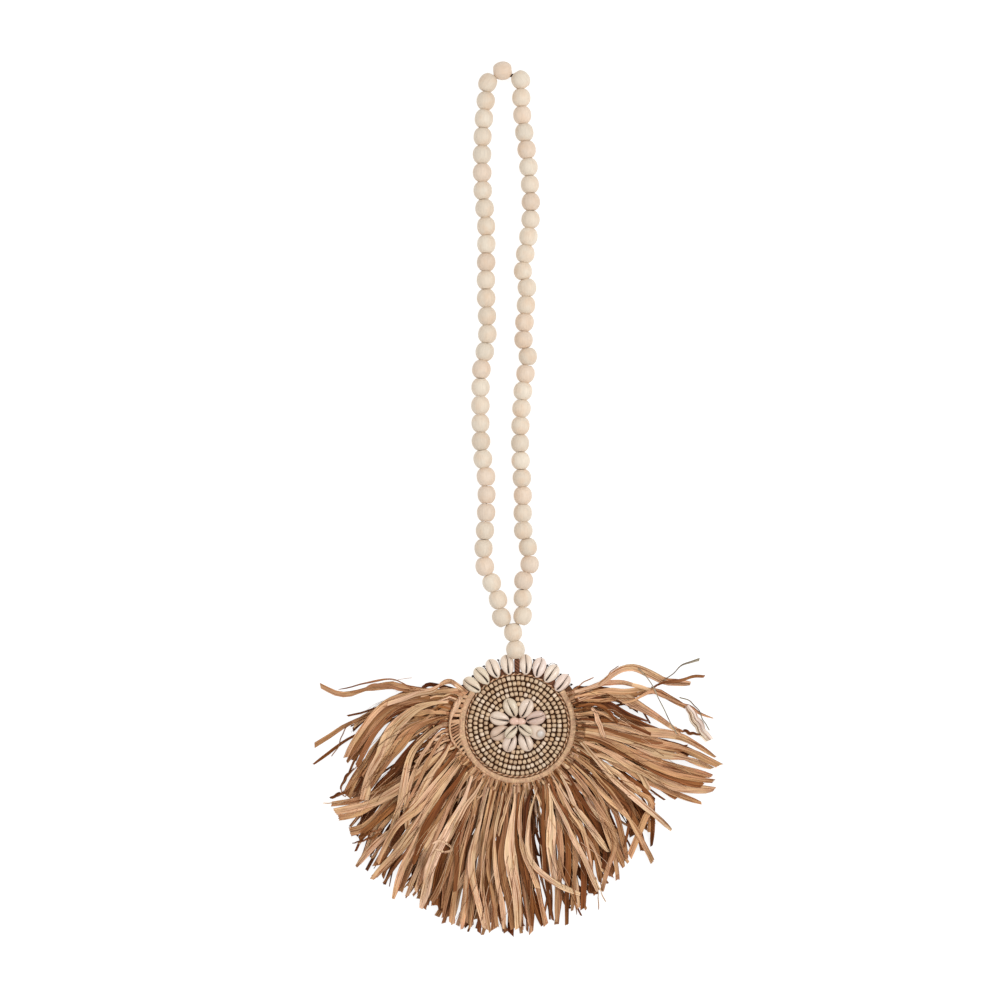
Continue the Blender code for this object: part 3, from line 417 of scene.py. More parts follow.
WOOD_TINTS = (srgb(226, 212, 193), srgb(222, 206, 186), srgb(225, 209, 189), srgb(225, 205, 185))
WARM_WOOD = srgb(222, 190, 160)
SEED_TINTS = (srgb(213, 184, 151), srgb(205, 172, 138), srgb(195, 160, 123), srgb(226, 202, 176))
RAFFIA_TONES = (srgb(88, 40, 8), srgb(144, 90, 50), srgb(204, 159, 119), srgb(234, 201, 168))
RAFFIA_BLEACHED = srgb(230, 213, 198)
AGED_RAFFIA = srgb(150, 98, 64)
# Painted shade for the holes in the gap beside the band.
PAINTED_HOLE_SHADE = srgb(92, 54, 30)
BACKING_BROWN = srgb(136, 96, 68)
RAFFIA_GREY = srgb(160, 152, 132)
RAFFIA_PINK = srgb(210, 166, 140)
SHELL_WHITE = srgb(232, 214, 196)
SHELL_GREY = srgb(224, 208, 184)
LOBE_PINK = srgb(222, 184, 165)
WARM_SHELL = srgb(226, 200, 178)
KNOB_GREY = srgb(206, 198, 190)
# A dark brown for knots, and for painted shade in the cowries' slit and in the holes at the band's edge.
KNOT_BROWN_AND_SHADE = srgb(48, 30, 20)
# Painted shade in the cowries' tooth gaps and round the knob.
TOOTH_AND_KNOB_SHADE = srgb(150, 112, 80)
THREAD_BROWN = srgb(86, 54, 34)
THREAD_RED = srgb(134, 88, 66)
GROUND_BROWN = srgb(76, 46, 26)
RIM_TINTS = (
    SHELL_GREY,
    SHELL_GREY,
    SHELL_WHITE,
    SHELL_WHITE,
    SHELL_WHITE,
    srgb(232, 212, 200),
    SHELL_WHITE,
    srgb(230, 208, 194),
)
PETAL_WHITE = srgb(224, 204, 186)
PETAL_GREY = srgb(214, 198, 174)
PETAL_TINTS = (
    PETAL_GREY,
    PETAL_WHITE,
    srgb(205, 177, 163),
    PETAL_WHITE,
    PETAL_WHITE,
    srgb(222, 200, 184),
    srgb(204, 176, 155),
    PETAL_WHITE,
)
BAND_TAN = srgb(218, 180, 142)
BAND_DEEP = srgb(204, 162, 130)
HEADER_LIGHT = np.array(srgb(232, 194, 158))
HEADER_DARK = np.array(srgb(150, 104, 74))
RUNG_LIGHT = srgb(210, 168, 132)
RUNG_DIM = srgb(172, 126, 94)
COIL_TAN = srgb(218, 180, 146)
COIL_DEEP = srgb(140, 98, 68)


# ------------------------------------------------------------------ mesh tools

BLUNTNESS = 0.4  # how far a cord's end stands out, as a share of its radius


class Shape:
    """Collects many small shapes, and values at their points, that become one piece."""

    def __init__(self):
        self.points = []
        self.loops = []
        self.sizes = []
        self.values = {}
        self.count = 0

    def add(self, points, faces, **values):
        """faces is a list of index arrays, each with one row for a face.

        A value is one for all points or one a point.
        """
        points = np.asarray(points, float)
        self.points.append(points)
        for group in faces:
            group = np.asarray(group, int)
            self.loops.append((group + self.count).ravel())
            self.sizes.append(np.full(len(group), group.shape[1]))
        for name, value in values.items():
            value = np.asarray(value, float)
            if value.ndim < 2 and len(value.ravel()) == len(points):
                value = value.reshape(-1, 1)
            wide = np.broadcast_to(value, (len(points), value.shape[-1] if value.ndim else 1))
            self.values.setdefault(name, []).append(wide)
        self.count += len(points)

    def piece(self, name, material, nodes=(), sharp_deg=60.0):
        """Makes the mesh object, which rides with the part and stands for the named solids."""
        points = np.concatenate(self.points)
        loops = np.concatenate(self.loops)
        sizes = np.concatenate(self.sizes)
        mesh = bpy.data.meshes.new(name)
        mesh.vertices.add(len(points))
        mesh.vertices.foreach_set("co", points.ravel())
        mesh.loops.add(len(loops))
        mesh.loops.foreach_set("vertex_index", loops)
        mesh.polygons.add(len(sizes))
        mesh.polygons.foreach_set("loop_start", np.concatenate(([0], np.cumsum(sizes)[:-1])))
        mesh.update(calc_edges=True)
        mesh.validate()
        for key, parts in self.values.items():
            value = np.concatenate(parts)
            if value.shape[1] == 1:
                mesh.attributes.new(key, "FLOAT", "POINT").data.foreach_set("value", value.ravel())
            else:
                mesh.attributes.new(key, "FLOAT_VECTOR", "POINT").data.foreach_set("vector", value.ravel())
        mesh.shade_smooth()
        mesh.set_sharp_from_angle(angle=math.radians(sharp_deg))
        mesh.materials.append(material)
        made = bpy.data.objects.new(name, mesh)
        bpy.context.collection.objects.link(made)
        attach(made, BODY)
        if nodes:
            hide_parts(*nodes)


def grid_faces(rows, columns, close_rows=False, close_columns=False):
    """Quads of a grid of points stored row by row."""
    row_count = rows if close_rows else rows - 1
    column_count = columns if close_columns else columns - 1
    row, column = np.meshgrid(np.arange(row_count), np.arange(column_count), indexing="ij")
    next_row = (row + 1) % rows
    next_column = (column + 1) % columns
    corners = (
        row * columns + column,
        row * columns + next_column,
        next_row * columns + next_column,
        next_row * columns + column,
    )
    return np.stack([c.ravel() for c in corners], axis=1)


def cap(tip, ring, following):
    """Triangles from a tip to each edge of a ring, as indices of points."""
    return np.stack((np.full(len(ring), tip), ring, following), axis=1)[:, ::-1]


def polar(radius, degrees):
    angle = math.radians(degrees)
    return np.array((radius * math.cos(angle), radius * math.sin(angle)))


def unit(vector):
    return vector / np.linalg.norm(vector)


def from_photo(spot):
    """A place seen from above, measured from the disc's centre, from its pixel in the photograph."""
    away = (spot[0] - DISC_IN_PHOTO_PX[0], DISC_IN_PHOTO_PX[1] - spot[1])
    return np.array(away) * PHOTO_MM_PER_PX * MM


def spline(points, at):
    """A point of the smooth curve through the points; at runs from 0 to the last index."""
    last = len(points) - 1
    i = min(int(at), last - 1)
    t = at - i
    before = points[max(i - 1, 0)]
    start = points[i]
    end = points[i + 1]
    after = points[min(i + 2, last)]
    return 0.5 * (
        2 * start
        + (end - before) * t
        + (2 * before - 5 * start + 4 * end - after) * t * t
        + (3 * start - before - 3 * end + after) * t * t * t
    )


def evenly(points, count):
    """count points evenly spaced along the smooth curve through the points."""
    points = [np.asarray(p, float) for p in points]
    fine = np.array([spline(points, k / 16) for k in range(16 * (len(points) - 1) + 1)])
    steps = np.concatenate(([0.0], np.cumsum(np.linalg.norm(np.diff(fine, axis=0), axis=1))))
    wanted = np.linspace(0.0, steps[-1], count)
    return np.stack([np.interp(wanted, steps, column) for column in fine.T], axis=1)


def anywhere(rng, reach):
    """A random place in a material's pattern."""
    return np.array([rng.uniform(-reach, reach) for _ in range(3)])


def tube(shape, line, radius, sides=8, **values):
    """A round cord along a line of 3-D points, with blunt ends. radius is one, or one a point."""
    line = np.asarray(line, float)
    radii = np.broadcast_to(radius, len(line)).astype(float)
    ahead = np.gradient(line, axis=0)
    rings = []
    previous = np.array((0.31, 0.17, 0.93))
    turn = 2 * math.pi * np.arange(sides) / sides
    for i, centre in enumerate(line):
        along = unit(ahead[i])
        side = unit(previous - along * np.dot(previous, along))
        other = np.cross(along, side)
        previous = side
        rings.append(centre + radii[i] * (np.outer(np.cos(turn), side) + np.outer(np.sin(turn), other)))
    start = line[:1] - unit(ahead[0]) * radii[0] * BLUNTNESS
    end = line[-1:] + unit(ahead[-1]) * radii[-1] * BLUNTNESS
    first = len(line) * sides
    last_ring = first - sides
    k = np.arange(sides)
    following = (k + 1) % sides
    faces = [
        grid_faces(len(line), sides, close_columns=True)[:, ::-1],
        cap(first, following, k),
        cap(first + 1, last_ring + k, last_ring + following),
    ]
    shape.add(np.concatenate([*rings, start, end]), faces, **values)


# ------------------------------------------------------------------- materials


class Nodes:
    """A material and short names for the nodes that the finishes use."""

    def __init__(self, name, roughness, specular=0.5):
        self.material = bpy.data.materials.new(name)
        self.material.use_nodes = True
        self.tree = self.material.node_tree
        self.shader = self.tree.nodes["Principled BSDF"]
        self.shader.inputs["Roughness"].default_value = roughness
        self.shader.inputs["Specular IOR Level"].default_value = specular

    def new(self, kind, **settings):
        node = self.tree.nodes.new(kind)
        for key, value in settings.items():
            setattr(node, key, value)
        return node

    def link(self, output, socket):
        self.tree.links.new(output, socket)

    def attribute(self, name, output="Vector"):
        node = self.new("ShaderNodeAttribute", attribute_name=name)
        return node.outputs[output]

    def scaled(self, vector, factors):
        node = self.new("ShaderNodeVectorMath", operation="MULTIPLY")
        self.link(vector, node.inputs[0])
        node.inputs[1].default_value = factors
        return node.outputs[0]

    def noise(self, vector, scale, detail, roughness=0.55):
        node = self.new("ShaderNodeTexNoise")
        self.link(vector, node.inputs["Vector"])
        node.inputs["Scale"].default_value = scale
        node.inputs["Detail"].default_value = detail
        node.inputs["Roughness"].default_value = roughness
        return node.outputs["Fac"]

    def streaks(self, vector, factors, detail, roughness):
        """Noise drawn out along the directions that have small factors."""
        return self.noise(self.scaled(vector, factors), 1.0, detail, roughness)

    def ranged(self, value, low, high, to_low, to_high):
        """Stretches a value from low..high to to_low..to_high."""
        node = self.new("ShaderNodeMapRange")
        self.link(value, node.inputs["Value"])
        node.inputs["From Min"].default_value = low
        node.inputs["From Max"].default_value = high
        node.inputs["To Min"].default_value = to_low
        node.inputs["To Max"].default_value = to_high
        return node.outputs["Result"]

    def mixed(self, factor, first, second, blend="MIX"):
        """Mixes two colours; each may be a colour or another node's output."""
        node = self.new("ShaderNodeMix", data_type="RGBA", blend_type=blend)
        for value, socket in ((factor, node.inputs[0]), (first, node.inputs[6]), (second, node.inputs[7])):
            if isinstance(value, bpy.types.NodeSocket):
                self.link(value, socket)
            elif isinstance(value, tuple):
                socket.default_value = (*value, 1.0)
            else:
                socket.default_value = value
        return node.outputs[2]

    def darkened(self, colour, factor):
        """Multiplies a colour by a grey that another node gives."""
        node = self.new("ShaderNodeVectorMath", operation="SCALE")
        self.link(colour, node.inputs[0])
        self.link(factor, node.inputs["Scale"])
        return node.outputs[0]

    def shaded(self, colour, value, low, high, darkest, lightest):
        """Multiplies a colour by a value stretched from low..high to darkest..lightest."""
        return self.darkened(colour, self.ranged(value, low, high, darkest, lightest))

    def bump(self, height, distance, strength):
        node = self.new("ShaderNodeBump")
        node.inputs["Distance"].default_value = distance
        node.inputs["Strength"].default_value = strength
        self.link(height, node.inputs["Height"])
        self.link(node.outputs["Normal"], self.shader.inputs["Normal"])

    def colour(self, output):
        self.link(output, self.shader.inputs["Base Color"])


def wood_material():
    """Bare pale wood: long grain, fine pores and a few warmer clouds."""
    n = Nodes("wood_bare", 0.5, 0.3)
    grain_at = n.attribute("grain")
    grain = n.noise(n.scaled(grain_at, (0.10, 0.9, 0.9)), 0.9, 4.0)
    cloud = n.noise(grain_at, 0.09, 2.0)
    pores = n.noise(n.scaled(grain_at, (0.35, 3.0, 3.0)), 1.6, 2.0)
    tint = n.attribute("tint")
    warm = n.mixed(n.ranged(cloud, 0.45, 0.75, 0.0, 0.55), tint, WARM_WOOD)
    streaked = n.shaded(warm, grain, 0.3, 0.72, 0.9, 1.03)
    n.colour(n.shaded(streaked, pores, 0.25, 0.5, 0.93, 1.0))
    n.bump(pores, 0.12 * MM, 0.5)
    return n.material


def seed_material():
    """Small cream and gold beads with a satin glaze."""
    n = Nodes("seed_glaze", 0.34, 0.55)
    speckle = n.noise(n.attribute("grain"), 0.9, 2.0)
    n.colour(n.shaded(n.attribute("tint"), speckle, 0.3, 0.7, 0.84, 1.08))
    n.bump(speckle, 0.1 * MM, 0.35)
    return n.material


def raffia_material():
    """Dry palm fibre: painted shade in its creases, fine fibres and ridges along it, a painted highlight near
    its edges and painted shade at its very edges.
    """
    n = Nodes("raffia_dry", 0.68, 0.18)
    fibre = n.attribute("fibre")
    bands = n.streaks(fibre, (0.5, 0.02, 1.0), 3.0, 0.6)
    creases = n.streaks(fibre, (1.25, 0.022, 1.0), 2.0, 0.55)
    fibres = n.streaks(fibre, (3.6, 0.05, 1.0), 3.0, 0.6)
    blotches = n.streaks(fibre, (0.35, 0.06, 1.0), 2.0, 0.5)
    warmth = n.streaks(fibre, (0.2, 0.035, 1.7), 1.0, 0.5)
    tint = n.attribute("tint")
    rosy = n.mixed(1.0, tint, (1.0, 0.965, 0.99), "MULTIPLY")
    straw = n.mixed(1.0, tint, (0.98, 1.0, 0.93), "MULTIPLY")
    hued = n.mixed(n.ranged(warmth, 0.42, 0.58, 0.0, 1.0), rosy, straw)
    aged = n.mixed(n.ranged(blotches, 0.56, 0.76, 0.0, 0.5), hued, AGED_RAFFIA)
    banded = n.shaded(aged, bands, 0.36, 0.64, 0.8, 1.2)
    streaked = n.shaded(banded, fibres, 0.35, 0.65, 0.84, 1.14)
    # Painted shade: the creases are darkened towards a deep brown.
    shade = n.mixed(1.0, streaked, (0.42, 0.22, 0.09), "MULTIPLY")
    creased = n.mixed(n.ranged(creases, 0.37, 0.46, 0.9, 0.0), streaked, shade)
    edge = n.attribute("edge", "Fac")
    # A painted highlight just inside the ribbon's edges, then painted shade at its very edges.
    lit = n.shaded(creased, edge, 0.4, 0.8, 0.97, 1.12)
    n.colour(n.shaded(lit, edge, 0.86, 1.0, 1.0, 0.6))
    n.bump(creases, 0.6 * MM, 0.9)
    return n.material


def band_material():
    """Raffia wound flat round the disc: fine wraps across it, faint lines along it and uneven colour."""
    n = Nodes("raffia_wound", 0.7, 0.15)
    fibre = n.attribute("fibre")
    wraps = n.streaks(fibre, (0.3, 0.8, 1.0), 4.0, 0.7)
    lines = n.streaks(fibre, (0.9, 0.09, 1.0), 3.0, 0.6)
    patches = n.streaks(fibre, (0.2, 0.2, 1.0), 2.0, 0.5)
    tint = n.mixed(n.ranged(patches, 0.42, 0.58, 0.0, 1.0), n.attribute("tint"), BAND_DEEP)
    crossed = n.shaded(tint, wraps, 0.34, 0.66, 0.66, 1.2)
    n.colour(n.shaded(crossed, lines, 0.36, 0.64, 0.8, 1.1))
    n.bump(wraps, 0.35 * MM, 0.8)
    return n.material


def thread_material():
    """Twisted thread: fine slanting ply and uneven dye."""
    n = Nodes("thread_dyed", 0.85, 0.25)
    place = n.new("ShaderNodeTexCoord").outputs["Object"]
    ply = n.new("ShaderNodeTexWave", bands_direction="DIAGONAL")
    n.link(place, ply.inputs["Vector"])
    ply.inputs["Scale"].default_value = 520.0
    ply.inputs["Distortion"].default_value = 2.0
    dye = n.noise(place, 260.0, 3.0)
    n.colour(n.shaded(n.attribute("tint"), dye, 0.3, 0.7, 0.7, 1.25))
    n.bump(ply.outputs["Fac"], 0.2 * MM, 0.7)
    return n.material


def shell_material():
    """Cowrie: glossy off-white, warmer in clouds, with painted shade in the slit, in the tooth gaps and in a
    ring on one side of the knob.
    """
    n = Nodes("cowrie_gloss", 0.27, 0.5)
    place = n.attribute("grain")
    cloud = n.noise(place, 0.16, 3.0)
    fine = n.noise(place, 1.1, 3.0)
    tint = n.attribute("tint")
    warm = n.mixed(n.ranged(cloud, 0.42, 0.75, 0.0, 0.5), tint, WARM_SHELL)
    spotted = n.shaded(warm, fine, 0.3, 0.62, 0.93, 1.0)
    # Painted shade in the tooth gaps and round the knob.
    gap_shaded = n.mixed(n.attribute("tooth_gap_and_knob_shade", "Fac"), spotted, TOOTH_AND_KNOB_SHADE)
    # Painted shade in the slit.
    n.colour(n.mixed(n.attribute("slit", "Fac"), gap_shaded, KNOT_BROWN_AND_SHADE))
    n.bump(fine, 0.08 * MM, 0.3)
    return n.material


# ---------------------------------------------------------------- wooden beads


def bead_outline():
    """Closed outline of half a bead: its round, its flat ends, the rims of its bore and the bore's wall."""
    rim = BEAD_HALF_LENGTH
    x = rim * np.sin(np.linspace(-0.5, 0.5, 19) * math.pi)
    y = BEAD_RADIUS * (1.0 - (np.abs(x) / BEAD_SWELL) ** BEAD_FULLNESS) ** (1.0 / BEAD_FULLNESS)
    outline = list(zip(x, y))
    outline.append((rim - 0.02 * MM, BORE_RADIUS + 0.35 * MM))
    outline.append((rim - 0.5 * MM, BORE_RADIUS))
    outline.append((-rim + 0.5 * MM, BORE_RADIUS))
    outline.append((-rim + 0.02 * MM, BORE_RADIUS + 0.35 * MM))
    return np.array(outline)


def lathe(outline, sides):
    """Turns a closed outline of (along X, radius) round the X axis."""
    turn = 2 * math.pi * np.arange(sides) / sides
    x = np.broadcast_to(outline[:, 0], (sides, len(outline)))
    y = np.outer(np.cos(turn), outline[:, 1])
    z = np.outer(np.sin(turn), outline[:, 1])
    points = np.stack((x, y, z), axis=2).reshape(-1, 3)
    return points, grid_faces(sides, len(outline), close_rows=True, close_columns=True)[:, ::-1]


def placed(points, centre, forward, roll=0.0):
    """Moves points from their own frame, X forward, to a place; roll turns them round X first."""
    forward = unit(np.asarray(forward, float))
    side = unit(np.cross(UP, forward))
    top = np.cross(forward, side)
    cos, sin = math.cos(roll), math.sin(roll)
    y = points[:, 1] * cos - points[:, 2] * sin
    z = points[:, 1] * sin + points[:, 2] * cos
    return centre + np.outer(points[:, 0], forward) + np.outer(y, side) + np.outer(z, top)


def wood_bead(shape, rng, centre, axis, gaps):
    """One bead, slightly uneven, lying on the surface; gaps are half the ways to the beads beside it."""
    points, faces = lathe(bead_outline(), 28)
    size = rng.uniform(0.985, 1.01)
    lump = 1.0 + 0.012 * np.sin(points[:, 0] / (3.1 * MM) + rng.uniform(0, 6))
    ends = np.clip(np.array(gaps) - BEAD_PLAY, BEAD_HALF_LENGTH, BEAD_LONGEST_END) / BEAD_HALF_LENGTH
    stretch = np.where(points[:, 0] < 0.0, ends[0], ends[1])
    local = points * size * np.stack((stretch, lump, lump), axis=1)
    grain = points / MM + anywhere(rng, 80.0)
    lift = BEAD_RADIUS * size * 1.012 - BEAD_AXIS_HEIGHT
    spot = np.array((centre[0], centre[1], BEAD_AXIS_HEIGHT + lift))
    forward = np.array((axis[0], axis[1], rng.uniform(-0.06, 0.06)))
    tint = np.array(WOOD_TINTS[rng.randrange(len(WOOD_TINTS))]) * rng.uniform(0.94, 1.04)
    world = placed(local, spot, forward, rng.uniform(0, 6.28))
    world[:, 2] = np.maximum(world[:, 2], 0.0)
    shape.add(world, [faces], grain=grain, tint=tint)


def strung(name, rng, centres, before, after, material, node):
    """A run of beads as one piece, in the place of its solid."""
    shape = Shape()
    stops = [before, *centres, after]
    for i, centre in enumerate(centres):
        gaps = (np.linalg.norm(centre - stops[i]) / 2, np.linalg.norm(stops[i + 2] - centre) / 2)
        wood_bead(shape, rng, centre, unit(stops[i + 2] - stops[i]), gaps)
    shape.piece(name, material, [node], sharp_deg=50.0)


def string_line(stops):
    """The way of the string through the beads, along their axes."""
    flat = evenly(stops, 12 * len(stops))
    return np.column_stack((flat, np.full(len(flat), BEAD_AXIS_HEIGHT)))


def wooden_loop(wood, thread):
    rng = random.Random(21)
    top = np.array(TOP_BEAD)
    lower, upper = (np.array(p) for p in NECK_BEADS)
    left = list(evenly(np.array(LEFT_ROUTE_MM) * MM, LEFT_BEADS))
    right = list(evenly(np.array(RIGHT_ROUTE_MM) * MM, RIGHT_BEADS))
    for side, beads in (("left", left), ("right", right)):
        every = [top, *beads, upper]
        for number, start in enumerate(range(0, len(beads), BEADS_IN_A_RUN)):
            run = beads[start : start + BEADS_IN_A_RUN]
            name = f"wood_{side}_{number + 1}"
            ends = (every[start], every[start + len(run) + 1])
            strung(name, rng, run, *ends, wood, f"{side}_beads_{number + 1}")
    strung("wood_top", rng, [top], left[0], right[0], wood, "top_bead")
    below = lower - (upper - lower)
    above = upper + (upper - lower)
    strung("wood_neck", rng, [lower, upper], below, above, wood, "neck_beads")
    cord = Shape()
    for stops in ([upper, *left[::-1], top], [top, *right, upper]):
        tube(cord, string_line(stops), STRING_RADIUS, tint=THREAD_BROWN)
    bare = (top + right[0]) / 2
    for offset in (-0.8, 0.0, 0.8):
        spot = np.array((bare[0] + offset * MM, bare[1], BEAD_AXIS_HEIGHT + 1.2 * MM))
        knot(cord, rng, spot, 1.5 * MM)
    cord.piece("bead_string", thread)


def stem_cord(thread):
    """A flat cord of twisted strands, from the neck beads to the disc, lashed near its ends."""
    shape = Shape()
    lower, upper = (np.array(p) for p in NECK_BEADS)
    top = lower - unit(upper - lower) * BEAD_HALF_LENGTH
    start = np.array(STEM_FOOT) - np.array((0.0, 1.2 * MM, 0.0))
    end = np.array((top[0], top[1], BEAD_AXIS_HEIGHT))
    side = np.array((1.0, 0.0, 0.0))
    for strand in range(STEM_STRANDS):
        line = []
        for k in range(41):
            share = k / 40
            turn = 2 * math.pi * (STEM_TURNS * share + strand / STEM_STRANDS)
            narrow = 1.0 - 0.3 * max(0.0, share - 0.8) / 0.2
            wide, high = STEM_HALF_MM
            offset = side * math.cos(turn) * wide * narrow + UP * math.sin(turn) * high * narrow
            line.append(start + (end - start) * share + offset * MM)
        tint = THREAD_RED if strand % 2 == 0 else THREAD_BROWN
        tube(shape, line, 0.8 * MM, 8, tint=tint)
    for share, wide in LASHINGS:
        ring = []
        for k in range(17):
            turn = 2 * math.pi * k / 16
            offset = side * math.cos(turn) * wide + UP * math.sin(turn) * 1.2
            ring.append(start + (end - start) * share + offset * MM)
        tube(shape, ring, 0.42 * MM, 6, tint=THREAD_BROWN)
    shape.piece("stem_cord", thread, ["stem"])


# ------------------------------------------------------------------------ disc


PAD_STITCH = 3.0 * MM
PAD_COLUMNS = 288
PAD_RINGS = 44


def pad_ring(radius, rim, on_top):
    """One ring of points of the pad's face or back, raised at its round stitches."""
    turn = 2 * math.pi * np.arange(PAD_COLUMNS) / PAD_COLUMNS
    around = np.round(2 * math.pi * radius / PAD_STITCH)
    round_number = int(radius / PAD_STITCH)
    bump = 0.5 + 0.5 * np.cos(around * turn + round_number * 2.1)
    bump = bump * abs(math.sin(math.pi * radius / PAD_STITCH))
    if on_top:
        edge = min(1.0, (rim - radius) / (1.2 * MM))
        height = BACKING_HEIGHT - 0.7 * MM * (1 - edge) + 0.45 * MM * bump * edge
    else:
        height = 0.35 * MM * (1.0 - bump) * (radius < rim - 1.0 * MM)
    return np.stack((radius * np.cos(turn), radius * np.sin(turn), height), axis=1)


def ground(thread):
    """The dark crocheted pad: rounds of small stitches on its face and its back."""
    rim = COIL_INNER + 0.2 * MM
    radii = np.linspace(0.02 * MM, rim, PAD_RINGS)
    face = [pad_ring(radius, rim, True) for radius in radii]
    back = [pad_ring(radius, rim, False) for radius in radii[::-1]]
    closed = grid_faces(2 * PAD_RINGS, PAD_COLUMNS, close_rows=True, close_columns=True)
    shape = Shape()
    shape.add(np.concatenate(face + back), [closed], tint=GROUND_BROWN)
    shape.piece("disc_ground", thread, ["disc_backing"])


def ring_line(radius, height, count, wave=0.0, waves=0, lift=0.0):
    """A closed wavy ring as a line of points that ends where it starts."""
    line = []
    for k in range(count + 1):
        turn = 2 * math.pi * k / count
        reach = radius + wave * math.sin(waves * turn)
        rise = height + lift * math.cos(waves * turn)
        line.append((reach * math.cos(turn), reach * math.sin(turn), rise))
    return line


def row_threads(thread):
    """The strings through the seed beads, and the couching stitches between them."""
    shape = Shape()
    base = BEADWORK_BASE
    for row in SEED_ROWS:
        through = ring_line(row.radius, base + 1.6 * MM, 2 * row.beads)
        between = row.radius - 2.3 * MM
        couched = ring_line(between, base + 0.35 * MM, 3 * row.beads, 0.18 * MM, row.beads, 0.15 * MM)
        for line in (through, couched):
            tube(shape, line, 0.55 * MM, 6, tint=THREAD_BROWN)
        for k in range(row.beads):
            degrees = 360.0 * (k + 0.5) / row.beads
            over = ((-2.1 * MM, 0.2 * MM), (0.0, 2.0 * MM), (2.1 * MM, 0.2 * MM))
            line = [(*polar(row.radius + out, degrees), base + rise) for out, rise in over]
            tube(shape, evenly(line, 7), 0.34 * MM, 5, tint=THREAD_BROWN)
    shape.piece("row_threads", thread)


SEED_SECTION = ((1.0, 0.35), (0.97, 0.66), (0.8, 0.87), (0.4, 0.98))  # shares of half length and radius


def seed_outline():
    """Closed outline of half a seed bead: a short rounded barrel with a fine bore."""
    left = [(-along, radius) for along, radius in SEED_SECTION]
    outline = np.array([*left, (0.0, 1.0), *SEED_SECTION[::-1]])
    return outline * (SEED_HALF_LENGTH, SEED_RADIUS)


def under_a_shell(spot):
    """Whether a place on the disc lies under a petal of the rosette."""
    half_length = PETAL_SIZE[0] / 2 + 0.6 * MM
    half_width = PETAL_SIZE[1] / 2 + 0.4 * MM
    for petal in PETALS:
        away = spot - polar(petal.radius, petal.angle)
        along = np.dot(away, polar(1.0, petal.heading)) / half_length
        across = np.dot(away, polar(1.0, petal.heading + 90.0)) / half_width
        if along**2 + across**2 < 1.0:
            return True
    return False


def seed_rows(glaze):
    """Rows of seed beads strung along the row, of several tints and slightly uneven."""
    rng = random.Random(5)
    points, faces = lathe(seed_outline(), 14)
    for number, row in enumerate(SEED_ROWS):
        shape = Shape()
        for k in range(row.beads):
            degrees = 360.0 * k / row.beads + rng.uniform(-0.5, 0.5)
            radius = row.radius + rng.uniform(-0.22, 0.22) * MM
            spot = polar(radius, degrees)
            pick = rng.random()
            tint = SEED_TINTS[sum(pick >= limit for limit in SEED_TINT_LIMITS)]
            tint = np.array(tint) * rng.uniform(0.88, 1.06)
            size = rng.uniform(0.93, 1.03)
            tilt = rng.uniform(-0.12, 0.12)
            lift = rng.uniform(-0.15, 0.2) * MM
            offset = anywhere(rng, 40.0)
            if row.node is None and under_a_shell(spot):
                continue
            height = BEADWORK_BASE + SEED_HEIGHT / 2 + lift
            forward = (*polar(1.0, degrees + 90.0), tilt)
            world = placed(points * size, np.array((*spot, height)), forward)
            shape.add(world, [faces], tint=tint, grain=points / MM + offset)
        shape.piece(f"seed_beads_{number + 1}", glaze, [row.node] if row.node else [], 70.0)


def bar(inner, outer, height, roundness, corners):
    """Section of a flat cord as (radius, height), from its outer side over its top and round."""
    outline = []
    for j in range(corners):
        phi = 2 * math.pi * (j + 0.5) / corners
        across = math.copysign(abs(math.cos(phi)) ** roundness, math.cos(phi))
        up = math.copysign(abs(math.sin(phi)) ** roundness, math.sin(phi))
        outline.append(((inner + outer) / 2 + (outer - inner) / 2 * across, height / 2 * (1.0 + up)))
    return outline


def sweep(shape, outline_at, from_deg, to_deg, steps, tint_at):
    """Carries a section round the disc; the section and its colour may change with the angle."""
    whole = to_deg - from_deg >= 360.0
    rows = steps if whole else steps + 1
    points, fibre, tint = [], [], []
    for i in range(rows):
        degrees = from_deg + (to_deg - from_deg) * i / steps
        along = BAND_OUTER * math.radians(degrees) / MM
        for radius, height in outline_at(degrees):
            points.append((*polar(radius, degrees), height))
            fibre.append(((radius + height) / MM, along, 5.0))
            tint.append(tint_at(degrees))
    section = len(points) // rows
    faces = [grid_faces(rows, section, close_rows=whole, close_columns=True)]
    if not whole:
        ends = np.arange(section)
        faces.append(ends[None, :])
        faces.append(((rows - 1) * section + ends[::-1])[None, :])
    shape.add(points, faces, fibre=fibre, tint=tint, edge=0.0)


def twisted_ring(shape, radius, height, turns, tints):
    """A thin cord of two plies round the disc."""
    steps = turns * 8
    for ply in range(2):
        line = []
        for k in range(steps + 1):
            degrees = 360.0 * k / steps
            twist = 2 * math.pi * (turns * k / steps + ply / 2)
            spot = polar(radius + 0.5 * MM * math.cos(twist), degrees)
            line.append((*spot, height + 0.5 * MM * math.sin(twist)))
        tube(shape, line, 0.62 * MM, 6, tint=tints[ply])


def coil(thread):
    """A twisted cord on a flat dark one, between the beads and the band."""
    base = bar(COIL_INNER + 0.05 * MM, BAND_INNER + 0.6 * MM, COIL_HEIGHT - 0.1 * MM, 0.5, 10)
    flat_cord = Shape()
    sweep(flat_cord, lambda degrees: base, 0.0, 360.0, 180, lambda degrees: THREAD_BROWN)
    flat_cord.piece("edge_coil_base", thread, ["edge_coil"])
    twisted = Shape()
    middle = (COIL_INNER + COIL_OUTER) / 2
    twisted_ring(twisted, middle, COIL_HEIGHT + 0.3 * MM, COIL_TURNS, (COIL_TAN, COIL_DEEP))
    twisted.piece("edge_coil_cords", thread, ["edge_coil"])


